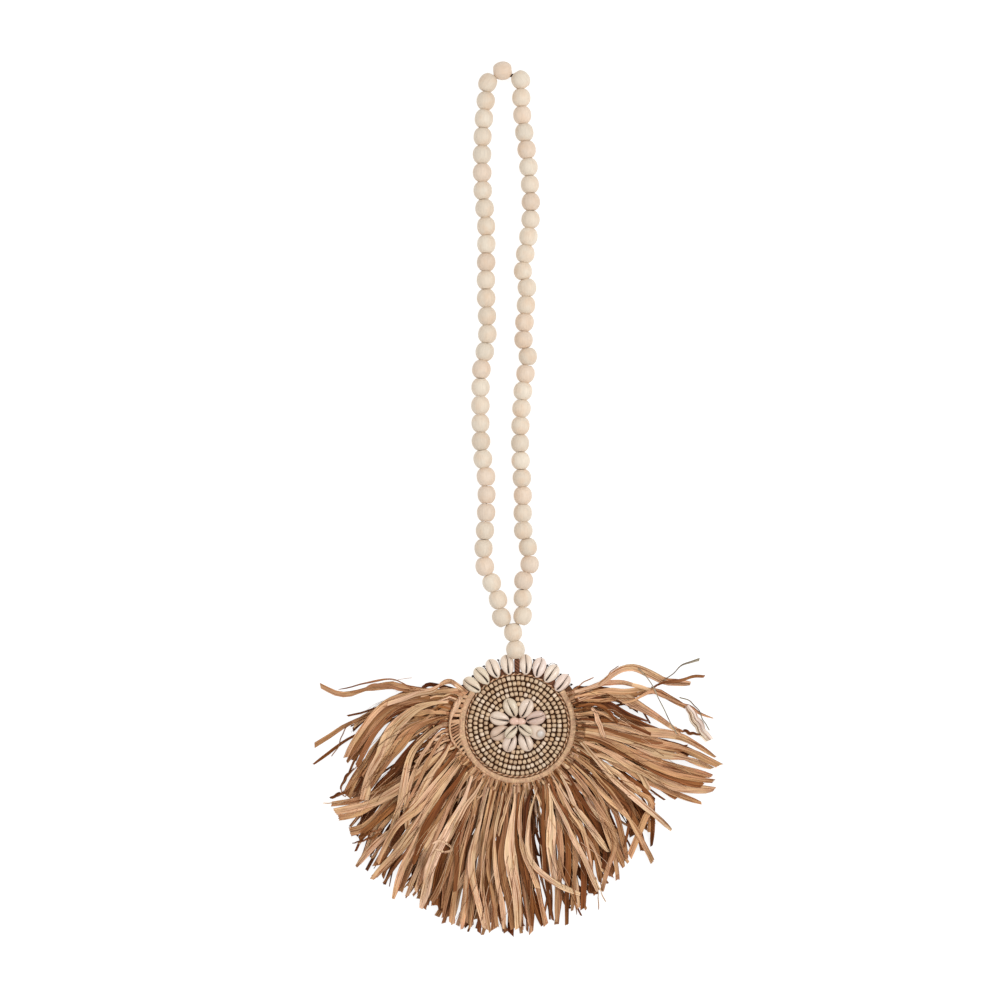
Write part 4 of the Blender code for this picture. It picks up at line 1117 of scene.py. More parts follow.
def band(wound):
    """The flat strip of raffia round the beadwork, pulled in a little by its stitches."""
    shape = Shape()

    def section(degrees):
        turn = math.radians(degrees)
        pull = 0.18 * math.sin(31 * turn) + 0.14 * math.sin(53 * turn + 1.0)
        sag = 0.16 * math.sin(17 * turn + 2.0)
        outer = BAND_OUTER + BAND_OVERHANG * math.cos(turn) ** 2 + pull * MM
        return bar(BAND_INNER - 0.1 * MM, outer, BAND_HEIGHT + (sag - 0.2) * MM, 0.42, 20)

    sweep(shape, section, FRINGE_FROM_DEG - 7.0, FRINGE_TO_DEG + 6.0, 380, lambda degrees: BAND_TAN)
    shape.piece("band_strip", wound, ["raffia_band"])


# ---------------------------------------------------------------------- shells

TOP_ACROSS = (0.97, 0.92, 0.85, 0.76, 0.65, 0.53, 0.42, 0.32, 0.24, 0.175, 0.125, 0.08, 0.04)
UNDER_ACROSS = (1.0, 0.9, 0.6, 0.2)
TOP_ROW = np.array([*(-np.array(TOP_ACROSS)), 0.0, *TOP_ACROSS[::-1]])
UNDER_ROW = np.array([*UNDER_ACROSS, *(-np.array(UNDER_ACROSS[::-1]))])
DOME = np.sqrt(np.maximum(0.0, 1.0 - TOP_ROW**2)) ** 0.86
SHELL_STATIONS = 76
TOOTH_PITCH = 1.05 * MM
TOOTH_DEPTH = 0.16 * MM
LIP_FROM_SLIT = 1.1 * MM
LIP_WIDTH = 0.55 * MM
GROOVE_DEPTH = 1.3 * MM
VALLEY_DEPTH = 0.95 * MM
VALLEY_WIDTH = 1.9 * MM
KNOB_HEIGHT = 1.3 * MM


def shell_half_width(share, width):
    """Half the width at a share of the half length, fuller towards the outer end."""
    return width / 2 * (1.0 - np.abs(share) ** 2.3) ** 0.6 * (1.0 + 0.16 * share)


def cowrie_stations(width, height):
    """Sections along a cowrie: their places from -1 to 1, half widths, and heights of foot, waist and top."""
    share = np.sin(np.linspace(-0.5, 0.5, SHELL_STATIONS) * math.pi) * 0.985
    half = shell_half_width(share, width)
    full = half / shell_half_width(0.0, width)
    foot = 0.26 * height * np.abs(share) ** 8
    top = height * (0.35 + 0.65 * full) * (1.0 - np.abs(share) ** 12) ** 0.5 + foot * 0.5
    waist = foot + (top - foot) * 0.42
    return share, half, foot, waist, top


def slit_way(rng, share):
    """How far the slit lies to the side along the shell: bent, leaning and slightly twisted."""
    bend = rng.choice((-1.0, 1.0)) * rng.uniform(0.35, 0.8) * MM
    lean = rng.uniform(-0.5, 0.5) * MM
    twist = rng.choice((-1.0, 1.0)) * rng.uniform(0.2, 0.55) * MM
    return bend * (1.0 - share**2) + lean * share + twist * np.sin(math.pi * share)


def cowrie(rng, size, turned):
    """A cowrie in its own frame: X along the shell, flat foot at Z 0, slit on top, or its back if turned."""
    length, width, height = size
    share, half, foot, waist, top = cowrie_stations(width, height)
    middle = slit_way(rng, share)
    open_part = 0.0 if turned else 1.0
    fade = open_part * np.clip((0.93 - np.abs(share)) / 0.10, 0.0, 1.0)
    inward = np.clip(0.35 - share, 0.0, 1.0)
    wide = (0.27 + 0.42 * inward) * MM
    points, slit_shades, tooth_gap_and_knob_shade = [], [], []
    for i in range(SHELL_STATIONS):
        y = half[i] * TOP_ROW + middle[i] * (1.0 - TOP_ROW**2)
        z = waist[i] + (top[i] - waist[i]) * DOME
        away = y - middle[i]
        groove = np.exp(-((away / wide[i]) ** 2))
        valley = np.exp(-((away / VALLEY_WIDTH) ** 2))
        lip = np.exp(-(((np.abs(away) - LIP_FROM_SLIT) / LIP_WIDTH) ** 2))
        comb = 0.5 + 0.5 * math.cos(math.pi * share[i] * length / TOOTH_PITCH)
        depth = GROOVE_DEPTH * groove + VALLEY_DEPTH * valley + TOOTH_DEPTH * lip * (1.0 - comb)
        z = z - fade[i] * depth * (top[i] / height)
        ring = np.zeros(len(TOP_ROW))
        if turned:
            hump = ((share[i] - KNOB_SHARE) / KNOB_LENGTH_SHARE) ** 2 + (y / KNOB_RADIUS) ** 2
            z = z + KNOB_HEIGHT * np.clip(1.0 - hump, 0.0, 1.0) ** 0.5
            inner_side = min(max((KNOB_SHARE - share[i]) / KNOB_LENGTH_SHARE, 0.0), 1.0)
            # Painted shade: a dark ring round the knob, strongest on its inner side.
            ring = (0.12 + 0.5 * inner_side) * np.exp(-(((hump - 1.2) / 0.4) ** 2))
        y_under = half[i] * UNDER_ROW
        z_under = waist[i] - (waist[i] - foot[i]) * (1.0 - np.abs(UNDER_ROW) ** 6)
        section = np.concatenate((np.stack((y, z), 1), np.stack((y_under, z_under), 1)))
        x = np.full(len(section), share[i] * length / 2)
        points.append(np.column_stack((x, section)))
        blank = np.zeros(len(UNDER_ROW))
        # Painted shade in the slit, darkest towards the inner end.
        darkest = fade[i] * (0.62 + 0.38 * min(1.0, 1.6 * inward[i]))
        painted_slit_shade = darkest * np.clip(groove * 2.4 - 0.3, 0.0, 1.0)
        slit_shades.append(np.concatenate((painted_slit_shade, blank)))
        # Painted shade in the tooth gaps, with the knob's ring.
        tooth_gap_and_knob_shade.append(np.concatenate((fade[i] * 0.5 * lip * (1.0 - comb) + ring, blank)))
    around = len(TOP_ROW) + len(UNDER_ROW)
    tips = [(side * length / 2, 0.0, (foot[end] + top[end]) / 2) for side, end in ((-1, 0), (1, -1))]
    k = np.arange(around)
    following = (k + 1) % around
    body = SHELL_STATIONS * around
    last = (SHELL_STATIONS - 1) * around
    faces = [
        grid_faces(SHELL_STATIONS, around, close_columns=True)[:, ::-1],
        cap(body, k, following),
        cap(body + 1, last + following, last + k),
    ]
    slit_shades = np.concatenate((*slit_shades, (0.0, 0.0)))
    tooth_gap_and_knob_shade = np.concatenate((*tooth_gap_and_knob_shade, (0.0, 0.0)))
    return np.concatenate((*points, tips)), faces, slit_shades, tooth_gap_and_knob_shade


def shell_piece(rng, name, node, place, size, base, tilt, tint, gloss, turned=False):
    """A shell in the place of its solid; tilt lifts its outer end."""
    points, faces, slit_shades, tooth_gap_and_knob_shade = cowrie(rng, size, turned)
    grain = points / MM + anywhere(rng, 60.0)
    lean = math.radians(tilt)
    x = points[:, 0] * math.cos(lean) - points[:, 2] * math.sin(lean)
    z = points[:, 0] * math.sin(lean) + points[:, 2] * math.cos(lean)
    leaning = np.stack((x, points[:, 1], z), axis=1)
    spot = np.array((*polar(place.radius, place.angle), base))
    world = placed(leaning, spot, (*polar(1.0, place.heading), 0.0))
    world[:, 2] = np.maximum(world[:, 2], 0.0)
    along = (points[:, 0] / size[0] * 2 - KNOB_SHARE) / KNOB_LENGTH_SHARE
    knob = along**2 + (points[:, 1] / KNOB_RADIUS) ** 2 < 1.0
    tints = np.where((knob & turned)[:, None], KNOB_GREY, tint)
    shape = Shape()
    shape.add(world, faces, grain=grain, tint=tints, slit=slit_shades, tooth_gap_and_knob_shade=tooth_gap_and_knob_shade)
    shape.piece(name, gloss, [node], 75.0)


def shells(gloss):
    rng = random.Random(17)
    lift = FOOT_SHARE * RIM_SHELL_SIZE[0] / 2 * math.sin(math.radians(-RIM_SHELL_TILT))
    for i, place in enumerate(RIM_SHELLS):
        names = (f"cowrie_rim_{i + 1}", f"rim_shell_{i + 1}")
        shell_piece(rng, *names, place, RIM_SHELL_SIZE, lift, RIM_SHELL_TILT, RIM_TINTS[i], gloss)
    for i, place in enumerate(PETALS):
        names = (f"cowrie_petal_{i + 1}", f"petal_{i + 1}")
        turned = i == TURNED_PETAL
        shell_piece(rng, *names, place, PETAL_SIZE, BEADWORK_BASE, 0.0, PETAL_TINTS[i], gloss, turned)
    for i, place in enumerate(UPPER_SHELLS):
        names = (f"cowrie_upper_{i + 1}", f"upper_shell_{i + 1}")
        looks = (UPPER_SHELL_SIZE, UPPER_SHELL_BASE, UPPER_SHELL_TILT, PETAL_GREY)
        shell_piece(rng, *names, place, *looks, gloss)
    for i, (degrees, size) in enumerate(zip(LOBE_DEG, LOBE_SIZES)):
        shell_end(rng, f"shell_end_{i + 1}", f"centre_lobe_{i + 1}", degrees, size, gloss)


def shell_end(rng, name, node, angle, size, gloss):
    """The rounded pink end of a shell that stands up in the middle of the rosette."""
    rows, columns = 18, 28
    points = []
    for i in range(rows):
        rise = i / (rows - 1) * math.pi * 0.97 + 0.05
        for k in range(columns):
            turn = 2 * math.pi * k / columns
            swell = 1.0 + 0.06 * math.cos(2 * turn) + 0.03 * math.cos(3 * turn + 1.0)
            reach = size * math.sin(rise) ** 0.7 * swell
            height = 3.3 * MM * (1.0 - math.cos(rise))
            points.append((1.1 * reach * math.cos(turn), 0.95 * reach * math.sin(turn), height))
    points = np.array(points)
    faces = grid_faces(rows, columns, close_columns=True)
    caps = [np.arange(columns)[::-1][None, :], (rows - 1) * columns + np.arange(columns)[None, :]]
    grain = points / MM + anywhere(rng, 60.0)
    spot = np.array((*polar(LOBE_DISTANCE, angle), BACKING_HEIGHT + 0.9 * MM))
    shape = Shape()
    shape.add(points + spot, [faces, *caps], grain=grain, tint=LOBE_PINK, slit=0.0, tooth_gap_and_knob_shade=0.0)
    shape.piece(name, gloss, [node], 75.0)


# Radii and heights of the threads between the rim shells, from the coil outwards.
FOOT_OF_THREADS = (45.4 * MM, 3.4 * MM)
MIDDLE_OF_THREADS = (47.8 * MM, 3.4 * MM)
TIP_OF_THREADS = (50.6 * MM, 2.6 * MM)
MIDDLE_OF_TIE = (54.3 * MM, 2.6 * MM)
THREADS_IN_A_FAN_DEG = (-3.0, -2.0, -1.0, 0.0, 1.0, 2.0, 3.0)
LOOSE_END_MM = ((25.7, 50.9, 4.0), (28.4, 53.4, 4.6), (31.0, 53.6, 4.4), (34.3, 51.8, 3.0))


def on_the_disc(radius_and_height, degrees):
    """The place at an angle round the disc's centre."""
    radius, height = radius_and_height
    return (*polar(radius, degrees), height)


def rim_stitching(thread):
    """Threads that tie the rim shells down: fans at their feet, ties between them and knots at the ends."""
    rng = random.Random(3)
    shape = Shape()
    angles = [place.angle for place in RIM_SHELLS]
    half_step = 6.3
    between = [(a + b) / 2 for a, b in zip(angles, angles[1:])]
    at_the_stem = between[3]
    for degrees in (angles[0] + half_step, *between, angles[-1] - half_step):
        if degrees == at_the_stem:
            continue
        tip = on_the_disc(TIP_OF_THREADS, degrees)
        for offset in THREADS_IN_A_FAN_DEG:
            foot = on_the_disc(FOOT_OF_THREADS, degrees + offset)
            middle = on_the_disc(MIDDLE_OF_THREADS, degrees + offset * 0.6)
            tint = THREAD_RED if rng.random() < 0.5 else THREAD_BROWN
            tube(shape, evenly([foot, middle, tip], 7), 0.5 * MM, 6, tint=tint)
        end = (*polar(rng.uniform(57.2, 58.8) * MM, degrees + rng.uniform(-0.6, 0.6)), 3.6 * MM)
        halfway = on_the_disc(MIDDLE_OF_TIE, degrees)
        tube(shape, evenly([tip, halfway, end], 7), 0.38 * MM, 6, tint=THREAD_BROWN)
        knot(shape, rng, np.array(end), 1.0 * MM)
    for place in RIM_SHELLS[5:]:
        spot = polar(place.radius, place.angle) + polar(9.3 * MM, place.heading + 2.0)
        knot(shape, rng, np.array((*spot, 2.2 * MM)), 0.6 * MM)
    tube(shape, evenly(np.array(LOOSE_END_MM) * MM, 14), 0.2 * MM, 5, tint=THREAD_BROWN)
    shape.piece("rim_stitching", thread)


def knot(shape, rng, centre, radius):
    """A small tight knot: three crossing loops of thread and a cut end."""
    for loop in range(3):
        tilt = rng.uniform(0.0, 3.14)
        line = []
        for k in range(13):
            turn = 2 * math.pi * k / 12
            out = math.cos(turn)
            spoke = np.array((out * math.cos(tilt), out * math.sin(tilt), math.sin(turn)))
            line.append(centre + spoke * radius * 0.6)
        tube(shape, line, radius * 0.5, 6, tint=KNOT_BROWN_AND_SHADE)
    end = centre + np.array((rng.uniform(-1, 1), rng.uniform(-1, 1), 0.2)) * radius * 1.5
    tube(shape, [centre, (centre + end) / 2, end], radius * 0.3, 5, tint=KNOT_BROWN_AND_SHADE)


# ---------------------------------------------------------------------- fringe


class Pile:
    """How high the ribbons laid so far reach, on a square grid of small cells."""

    CELL = 0.7 * MM
    HALF = 215.0 * MM

    def __init__(self):
        cells = int(2 * self.HALF / self.CELL) + 1
        self.height = np.zeros((cells, cells))

    def cells(self, start, end, half_start, half_end):
        run = end - start
        length = np.linalg.norm(run) + 1e-9
        side = np.array((-run[1], run[0])) / length
        along = np.linspace(0.0, 1.0, int(length / self.CELL) + 2)
        across = np.linspace(-1.0, 1.0, int(2 * max(half_start, half_end) / self.CELL) + 3)
        share, place = np.meshgrid(along, across, indexing="ij")
        half = half_start + (half_end - half_start) * share
        x = start[0] + run[0] * share + side[0] * half * place
        y = start[1] + run[1] * share + side[1] * half * place
        column = ((x + self.HALF) / self.CELL).astype(int)
        row = ((y + self.HALF) / self.CELL).astype(int)
        return column, row, share

    def highest(self, *stretch):
        column, row, _ = self.cells(*stretch)
        return float(self.height[column, row].max())

    def add(self, start_top, end_top, *stretch):
        column, row, share = self.cells(*stretch)
        np.maximum.at(self.height, (column, row), start_top + (end_top - start_top) * share)


def bulge(degrees):
    """How far the header stands off the band here, from 0 to 1."""
    away = (degrees - BULGE_DEG) / BULGE_SPREAD_DEG
    return 1.0 / (1.0 + away**4)


def header_radius(degrees):
    return HEADER_OUTER + BULGE_SIZE * bulge(degrees)


def fan_at(root_deg):
    """Tip angle, reach and bow of the fan at a root angle, read between the rows of FAN."""
    roots = [row.root_deg for row in FAN]
    return [
        float(np.interp(root_deg, roots, [getattr(row, key) for row in FAN]))
        for key in ("tip_deg", "reach", "bow")
    ]


SHARES = np.linspace(0.0, 1.0, LINE_POINTS)
ALONG = SHARES * (0.5 + 0.5 * SHARES)  # closer together near the root


def kink(share, apex, size):
    """A bend at one place: 0 at both ends and size at the apex."""
    return size * min(share / apex, (1.0 - share) / (1.0 - apex))


def ribbon_line(rng, ribbon):
    """Points of a ribbon seen from above, from the band's edge to the tip."""
    radius = header_radius(ribbon.root_deg)
    inset = (HEADER_THICKNESS + 0.3 * MM) * (1.0 - bulge(ribbon.root_deg)) + 0.3 * MM
    start = polar(radius + ROOT_RUN, ribbon.root_deg)
    chord = polar(ribbon.reach * MM, ribbon.tip_deg) - start
    side = np.array((-chord[1], chord[0])) / np.linalg.norm(chord)
    phase = rng.uniform(0.0, 6.28)
    ripple = rng.uniform(0.4, 2.3)
    quick = rng.uniform(7.0, 12.0)
    calm = min(1.0, np.linalg.norm(chord) / (80.0 * MM))
    kinks = [(rng.uniform(0.15, 0.85), rng.uniform(-3.6, 3.6) * calm) for _ in range(2)]
    line = [polar(radius - inset, ribbon.root_deg), polar(radius + 1.0 * MM, ribbon.root_deg)]
    for i in range(15):
        share = i / 14
        off = ribbon.bow * math.sin(math.pi * share)
        off += ribbon.swing * math.sin(2 * math.pi * share)
        off += calm * ripple * math.sin(quick * share + phase) * min(1.0, 3.0 * share)
        off += sum(kink(share, apex, size) for apex, size in kinks)
        line.append(start + chord * share + side * off * MM)
    return spaced(line)


def spaced(line):
    """LINE_POINTS points along the smooth curve through a line, at the shares in ALONG."""
    fine = evenly(line, 8 * LINE_POINTS)
    at = ALONG * (len(fine) - 1)
    return np.stack([np.interp(at, np.arange(len(fine)), column) for column in fine.T], axis=1)


def is_rooted(strand):
    """Whether a strand grows from the band; the others lie loose on the fringe."""
    return np.linalg.norm(from_photo(strand.route[0])) < ROOTED_WITHIN


def strand_line(rng, strand):
    """Points of a strand seen from above; one that grows from the band starts at the band's edge."""
    line = [from_photo(spot) for spot in strand.route]
    if is_rooted(strand):
        degrees = math.degrees(math.atan2(line[0][1], line[0][0])) % 360.0
        stand_off = bulge(degrees) * (header_radius(degrees) - 1.5 * MM - BAND_OUTER)
        root = unit(line[0]) * (BAND_OUTER + 0.4 * MM + max(0.0, stand_off))
        if np.linalg.norm(line[0] - root) < 3.0 * MM:
            line[0] = root
        else:
            line.insert(0, root)
    line = spaced(line)
    ahead = np.gradient(line, axis=0)
    side = np.stack((-ahead[:, 1], ahead[:, 0]), axis=1) / np.linalg.norm(ahead, axis=1)[:, None]
    ripple = np.sin(rng.uniform(9.0, 20.0) * ALONG + rng.uniform(0.0, 6.28)) * np.sin(math.pi * ALONG)
    return line + side * (ripple * rng.uniform(0.2, 0.7) * MM)[:, None]


Profile = namedtuple("Profile", "half roll lift slant")
ACROSS = np.array((-1.0, -0.68, -0.34, 0.0, 0.34, 0.68, 1.0))


def pinch(rng, place, spread, low, high):
    """Widths along a ribbon, as shares, that shrink at one place by a draw between low and high."""
    return 1.0 - rng.uniform(low, high) * np.exp(-(((ALONG - place) / spread) ** 2))


def folds(rng, cup_from, cup_to, crease_from, crease_to):
    """Heights across a ribbon as shares of its half width: hollow or arched, and creased up and down."""
    cup = rng.choice((-1, 1)) * rng.uniform(cup_from, cup_to)
    zigzag = np.array([(-1) ** j * rng.uniform(crease_from, crease_to) for j in range(len(ACROSS))])
    return cup * (ACROSS**2 - 0.45) + zigzag


def wander(rng, knots, low, high):
    """A value that drifts smoothly along a ribbon between low and high."""
    values = [rng.uniform(low, high) for _ in range(knots)]
    drift = np.interp(ALONG, np.linspace(0.0, 1.0, knots), values)
    for _ in range(2):
        drift[1:-1] = (drift[:-2] + 2 * drift[1:-1] + drift[2:]) / 4
    return drift


def ribbon_profile(rng, ribbon):
    """How a ribbon is gathered at the root, folds lengthwise, rolls, pinches and ends."""
    full = ribbon.width * MM / 2
    half = full * wander(rng, 6, 0.62, 1.22)
    root = min(full, rng.uniform(0.55, 0.9) * MM)
    opening = np.clip((ALONG - 0.03) / rng.uniform(0.10, 0.26), 0.0, 1.0) ** 0.8
    half = root + (half - root) * opening
    roll = wander(rng, 6, -0.62, 0.62)
    turn = rng.random()
    if turn < 0.4:
        place = rng.uniform(0.25, 0.85)
        spread = rng.uniform(0.03, 0.08)
        half = half * pinch(rng, place, spread, 0.35, 0.7)
        if turn < 0.2:
            flip = np.clip((ALONG - place) / (2.4 * spread) + 0.5, 0.0, 1.0)
            roll = roll + math.pi * flip * flip * (3.0 - 2.0 * flip)
    if rng.random() < 0.25:
        half = half * (1.0 - rng.uniform(0.35, 0.8) * np.clip((ALONG - 0.72) / 0.28, 0.0, 1.0) ** 1.5)
    lift = folds(rng, 0.05, 0.35, 0.0, 0.24)
    depth = wander(rng, 5, 0.4, 1.4) * (0.4 + 0.6 * opening)
    return Profile(half, roll, lift[None, :] * depth[:, None], rng.uniform(-1.0, 1.0))


def strand_profile(rng, strand):
    """A strand's width along its way, gathered at the root, with soft folds and little roll."""
    root, middle, tip = strand.widths
    full = np.interp(ALONG, (0.0, 0.12, 0.5, 1.0), (root, root, middle, tip))
    half = full * wander(rng, 7, 0.84, 1.16) * PHOTO_MM_PER_PX * MM / 2
    if rng.random() < 0.3:
        half = half * pinch(rng, rng.uniform(0.3, 0.8), 0.05, 0.3, 0.55)
    if rng.random() < 0.5:
        half = half * (1.0 - 0.5 * np.clip((ALONG - 0.9) / 0.1, 0.0, 1.0) ** 1.5)
    roll = wander(rng, 5, -0.35, 0.35)
    lift = folds(rng, 0.08, 0.38, 0.04, 0.3)
    depth = wander(rng, 5, 0.5, 1.3)
    return Profile(half, roll, lift[None, :] * depth[:, None], rng.uniform(-1.0, 1.0))


def lay(rng, pile, line, profile, row, rooted=True):
    """Heights of a ribbon's middle line, laid over the ribbons below it, springy and lifted at some tips."""
    half = profile.half
    thick = np.ptp(profile.lift, axis=1) / 2
    room = half * (np.abs(np.sin(profile.roll)) * 0.5 + thick * 0.6) + RIBBON_THICKNESS / 2
    count = len(line)
    under = np.zeros(count - 1)
    for i in range(count - 1):
        under[i] = pile.highest(line[i], line[i + 1], half[i], half[i + 1])
    need = np.zeros(count)
    need[1:-1] = np.maximum(under[1:], under[:-1])
    need[-1] = under[-1]
    need = np.where(need > 0.0, need + LAY_GAP, 0.0) + room
    root = ROOT_HEIGHTS[row]
    if rooted:
        need[0] = root - 1.2 * MM
        need[1:3] = np.maximum(root, np.minimum(need[1:3], root + 1.5 * MM))
    height = need.copy()
    for _ in range(3):
        spread = height.copy()
        spread[1:-1] = (height[:-2] + 2 * height[1:-1] + height[2:]) / 4
        height = np.maximum(need, spread)
        if rooted:
            height[:3] = need[:3]
    spring = rng.uniform(0.0, 0.4 + 0.4 * row) * MM
    height = height + spring * np.sin(math.pi * np.clip(ALONG * 1.15, 0.0, 1.0)) ** 2
    if rng.random() < 0.25:
        height = height + rng.uniform(0.5, 3.5) * MM * np.clip((ALONG - 0.75) / 0.25, 0.0, 1.0) ** 2
    for i in range(2, count - 1):
        tops = (height[i] + room[i], height[i + 1] + room[i + 1])
        pile.add(*tops, line[i], line[i + 1], half[i], half[i + 1])
    return height


def pressed(points):
    """Squeezes heights smoothly so that the pile stays low and keeps its order."""
    points[:, 2] = HIGHEST * (1.0 - np.exp(-points[:, 2] / HIGHEST))
    return points


def ribbon_mesh(shape, rng, line, height, profile, tint):
    """A thin closed ribbon along its line, creased across its width and rolling as it goes."""
    half, roll = profile.half, profile.roll
    spine = np.column_stack((line, height))
    ahead = np.gradient(spine, axis=0)
    ahead /= np.linalg.norm(ahead, axis=1)[:, None]
    level = np.cross(ahead, UP)
    level /= np.linalg.norm(level, axis=1)[:, None]
    above = np.cross(level, ahead)
    side = level * np.cos(roll)[:, None] + above * np.sin(roll)[:, None]
    normal = above * np.cos(roll)[:, None] - level * np.sin(roll)[:, None]
    rows = []
    last = len(spine) - 1
    for i in range(len(spine)):
        cut = profile.slant * half[i] if i == last else 0.0
        middle = (
            spine[i]
            + np.outer(ACROSS * half[i], side[i])
            + np.outer(profile.lift[i] * half[i], normal[i])
            + np.outer(ACROSS * cut, ahead[i])
        )
        offset = normal[i] * RIBBON_THICKNESS / 2
        rows.append(np.concatenate((middle + offset, (middle - offset)[::-1])))
    wide = len(ACROSS)
    around = 2 * wide
    points = pressed(np.concatenate(rows))
    lowest = np.where(np.arange(len(points)) % around < wide, 0.12, 0.02) * MM
    points[:, 2] = np.maximum(points[:, 2], lowest)
    k = np.arange(wide - 1)
    start_cap = np.stack((k, k + 1, around - 2 - k, around - 1 - k), axis=1)
    end_cap = start_cap[:, ::-1] + last * around
    faces = [grid_faces(last + 1, around, close_columns=True)[:, ::-1], start_cap[:, ::-1], end_cap[:, ::-1]]
    steps = np.concatenate(([0.0], np.cumsum(np.linalg.norm(np.diff(spine, axis=0), axis=1)))) / MM
    place = np.concatenate((ACROSS, ACROSS[::-1]))
    fibre = np.zeros((last + 1, around, 3))
    fibre[:, :, 0] = place[None, :] * (half / MM)[:, None]
    fibre[:, :, 1] = steps[:, None]
    fibre[:, :, 2] = rng.uniform(0.0, 900.0)
    edge = np.broadcast_to(np.abs(place), (last + 1, around))
    shade = np.repeat(wander(rng, 6, 0.84, 1.14), around)
    tints = shade[:, None] * np.asarray(tint)[None, :]
    shape.add(points, faces, fibre=fibre.reshape(-1, 3), tint=tints, edge=edge.reshape(-1))


def raffia_tint(rng, tone):
    """Colour of a ribbon of a given tone, some of them pinkish; above 1 it is bleached and below 0 grey."""
    if tone > 1.0:
        return np.array(RAFFIA_BLEACHED)
    if tone < 0.0:
        return np.array(RAFFIA_GREY)
    at = min(max(tone, 0.0), 1.0) * (len(RAFFIA_TONES) - 1)
    i = min(int(at), len(RAFFIA_TONES) - 2)
    low, high = np.array(RAFFIA_TONES[i]), np.array(RAFFIA_TONES[i + 1])
    tint = low + (high - low) * (at - i)
    pink = 0.4 * rng.random() ** 3 * tone
    return tint * (1.0 - pink) + np.array(RAFFIA_PINK) * pink


def fill_ribbon(rng, place, row, leanings):
    """One of the many ribbons between the ones that show by themselves; neighbours clump together."""
    root = FRINGE_FROM_DEG + FRINGE_SPAN_DEG * place
    tip, reach, bow = fan_at(root)
    clump = int((root - FRINGE_FROM_DEG) / CLUMP_DEG)
    middle = FRINGE_FROM_DEG + (clump + 0.5) * CLUMP_DEG
    goal = fan_at(middle)[0] + leanings[clump]
    stray = 6.0 if rng.random() < 0.12 else 2.2
    pick = rng.random()
    widths = next(span for up_to, *span in RIBBON_WIDTHS_MM if pick < up_to)
    width = rng.uniform(*widths)
    shorter = rng.uniform(0.92, 1.0) if rng.random() < 0.85 else rng.uniform(0.6, 0.88)
    return Ribbon(
        root,
        tip + (goal - tip) * 0.55 + rng.uniform(-stray, stray),
        reach * shorter,
        bow + rng.uniform(-6.0, 6.0),
        rng.uniform(-4.0, 4.0),
        width,
        row,
        rng.uniform(*TONES_IN_A_ROW[row]),
    )


def gather(rng, place):
    """A thin short fold beside the band, where the ribbons are gathered tightly."""
    root = FRINGE_FROM_DEG + FRINGE_SPAN_DEG * place
    tip, reach, _ = fan_at(root)
    start = polar(header_radius(root) + ROOT_RUN, root)
    end = start + (polar(reach * MM, tip) - start) * rng.uniform(0.08, 0.36)
    turn = math.degrees(math.atan2(end[1], end[0]))
    turn = root + (turn - root + 180.0) % 360.0 - 180.0
    return Ribbon(
        root,
        turn + rng.uniform(-3.0, 3.0),
        np.linalg.norm(end) / MM,
        rng.uniform(-2.2, 2.2),
        rng.uniform(-1.2, 1.2),
        rng.uniform(1.1, 2.3),
        GATHER_ROW,
        rng.uniform(0.25, 0.95),
    )


def covers_an_open_spot(line, half_width):
    """Whether a ribbon along the line would lie over a spot where the white surface shows."""
    spots = np.array([from_photo(spot) for spot in OPEN_SPOTS_PX])
    away = np.linalg.norm(line[:, None, :] - spots[None, :, :], axis=2)
    return away.min() < OPEN_SPOT + half_width


def fringe(raffia):
    """All ribbons, row by row from the lowest, each laid over those before it."""
    rng = random.Random(29)
    pile = Pile()
    clumps = int(FRINGE_SPAN_DEG / CLUMP_DEG) + 2
    for row in range(ROWS):
        leanings = [rng.uniform(-2.5, 2.5) for _ in range(clumps)]
        if row == GATHER_ROW:
            fill = [gather(rng, (k + rng.random()) / GATHERS) for k in range(GATHERS)]
        else:
            count = RIBBONS_IN_A_ROW[row]
            fill = [fill_ribbon(rng, (k + rng.random()) / count, row, leanings) for k in range(count)]
        rng.shuffle(fill)
        shape = Shape()
        for ribbon in fill:
            line = ribbon_line(rng, ribbon)
            if covers_an_open_spot(line, ribbon.width * MM / 2):
                continue
            profile = ribbon_profile(rng, ribbon)
            height = lay(rng, pile, line, profile, row)
            ribbon_mesh(shape, rng, line, height, profile, raffia_tint(rng, ribbon.tone))
        for strand in map(Strand._make, STRANDS_IN_ROW.get(row, ())):
            line = strand_line(rng, strand)
            profile = strand_profile(rng, strand)
            height = lay(rng, pile, line, profile, row, is_rooted(strand))
            ribbon_mesh(shape, rng, line, height, profile, raffia_tint(rng, strand.tone))
        shape.piece(f"ribbons_{row + 1}", raffia, ["fringe"], 32.0)
    loose_fibres(raffia, pile)


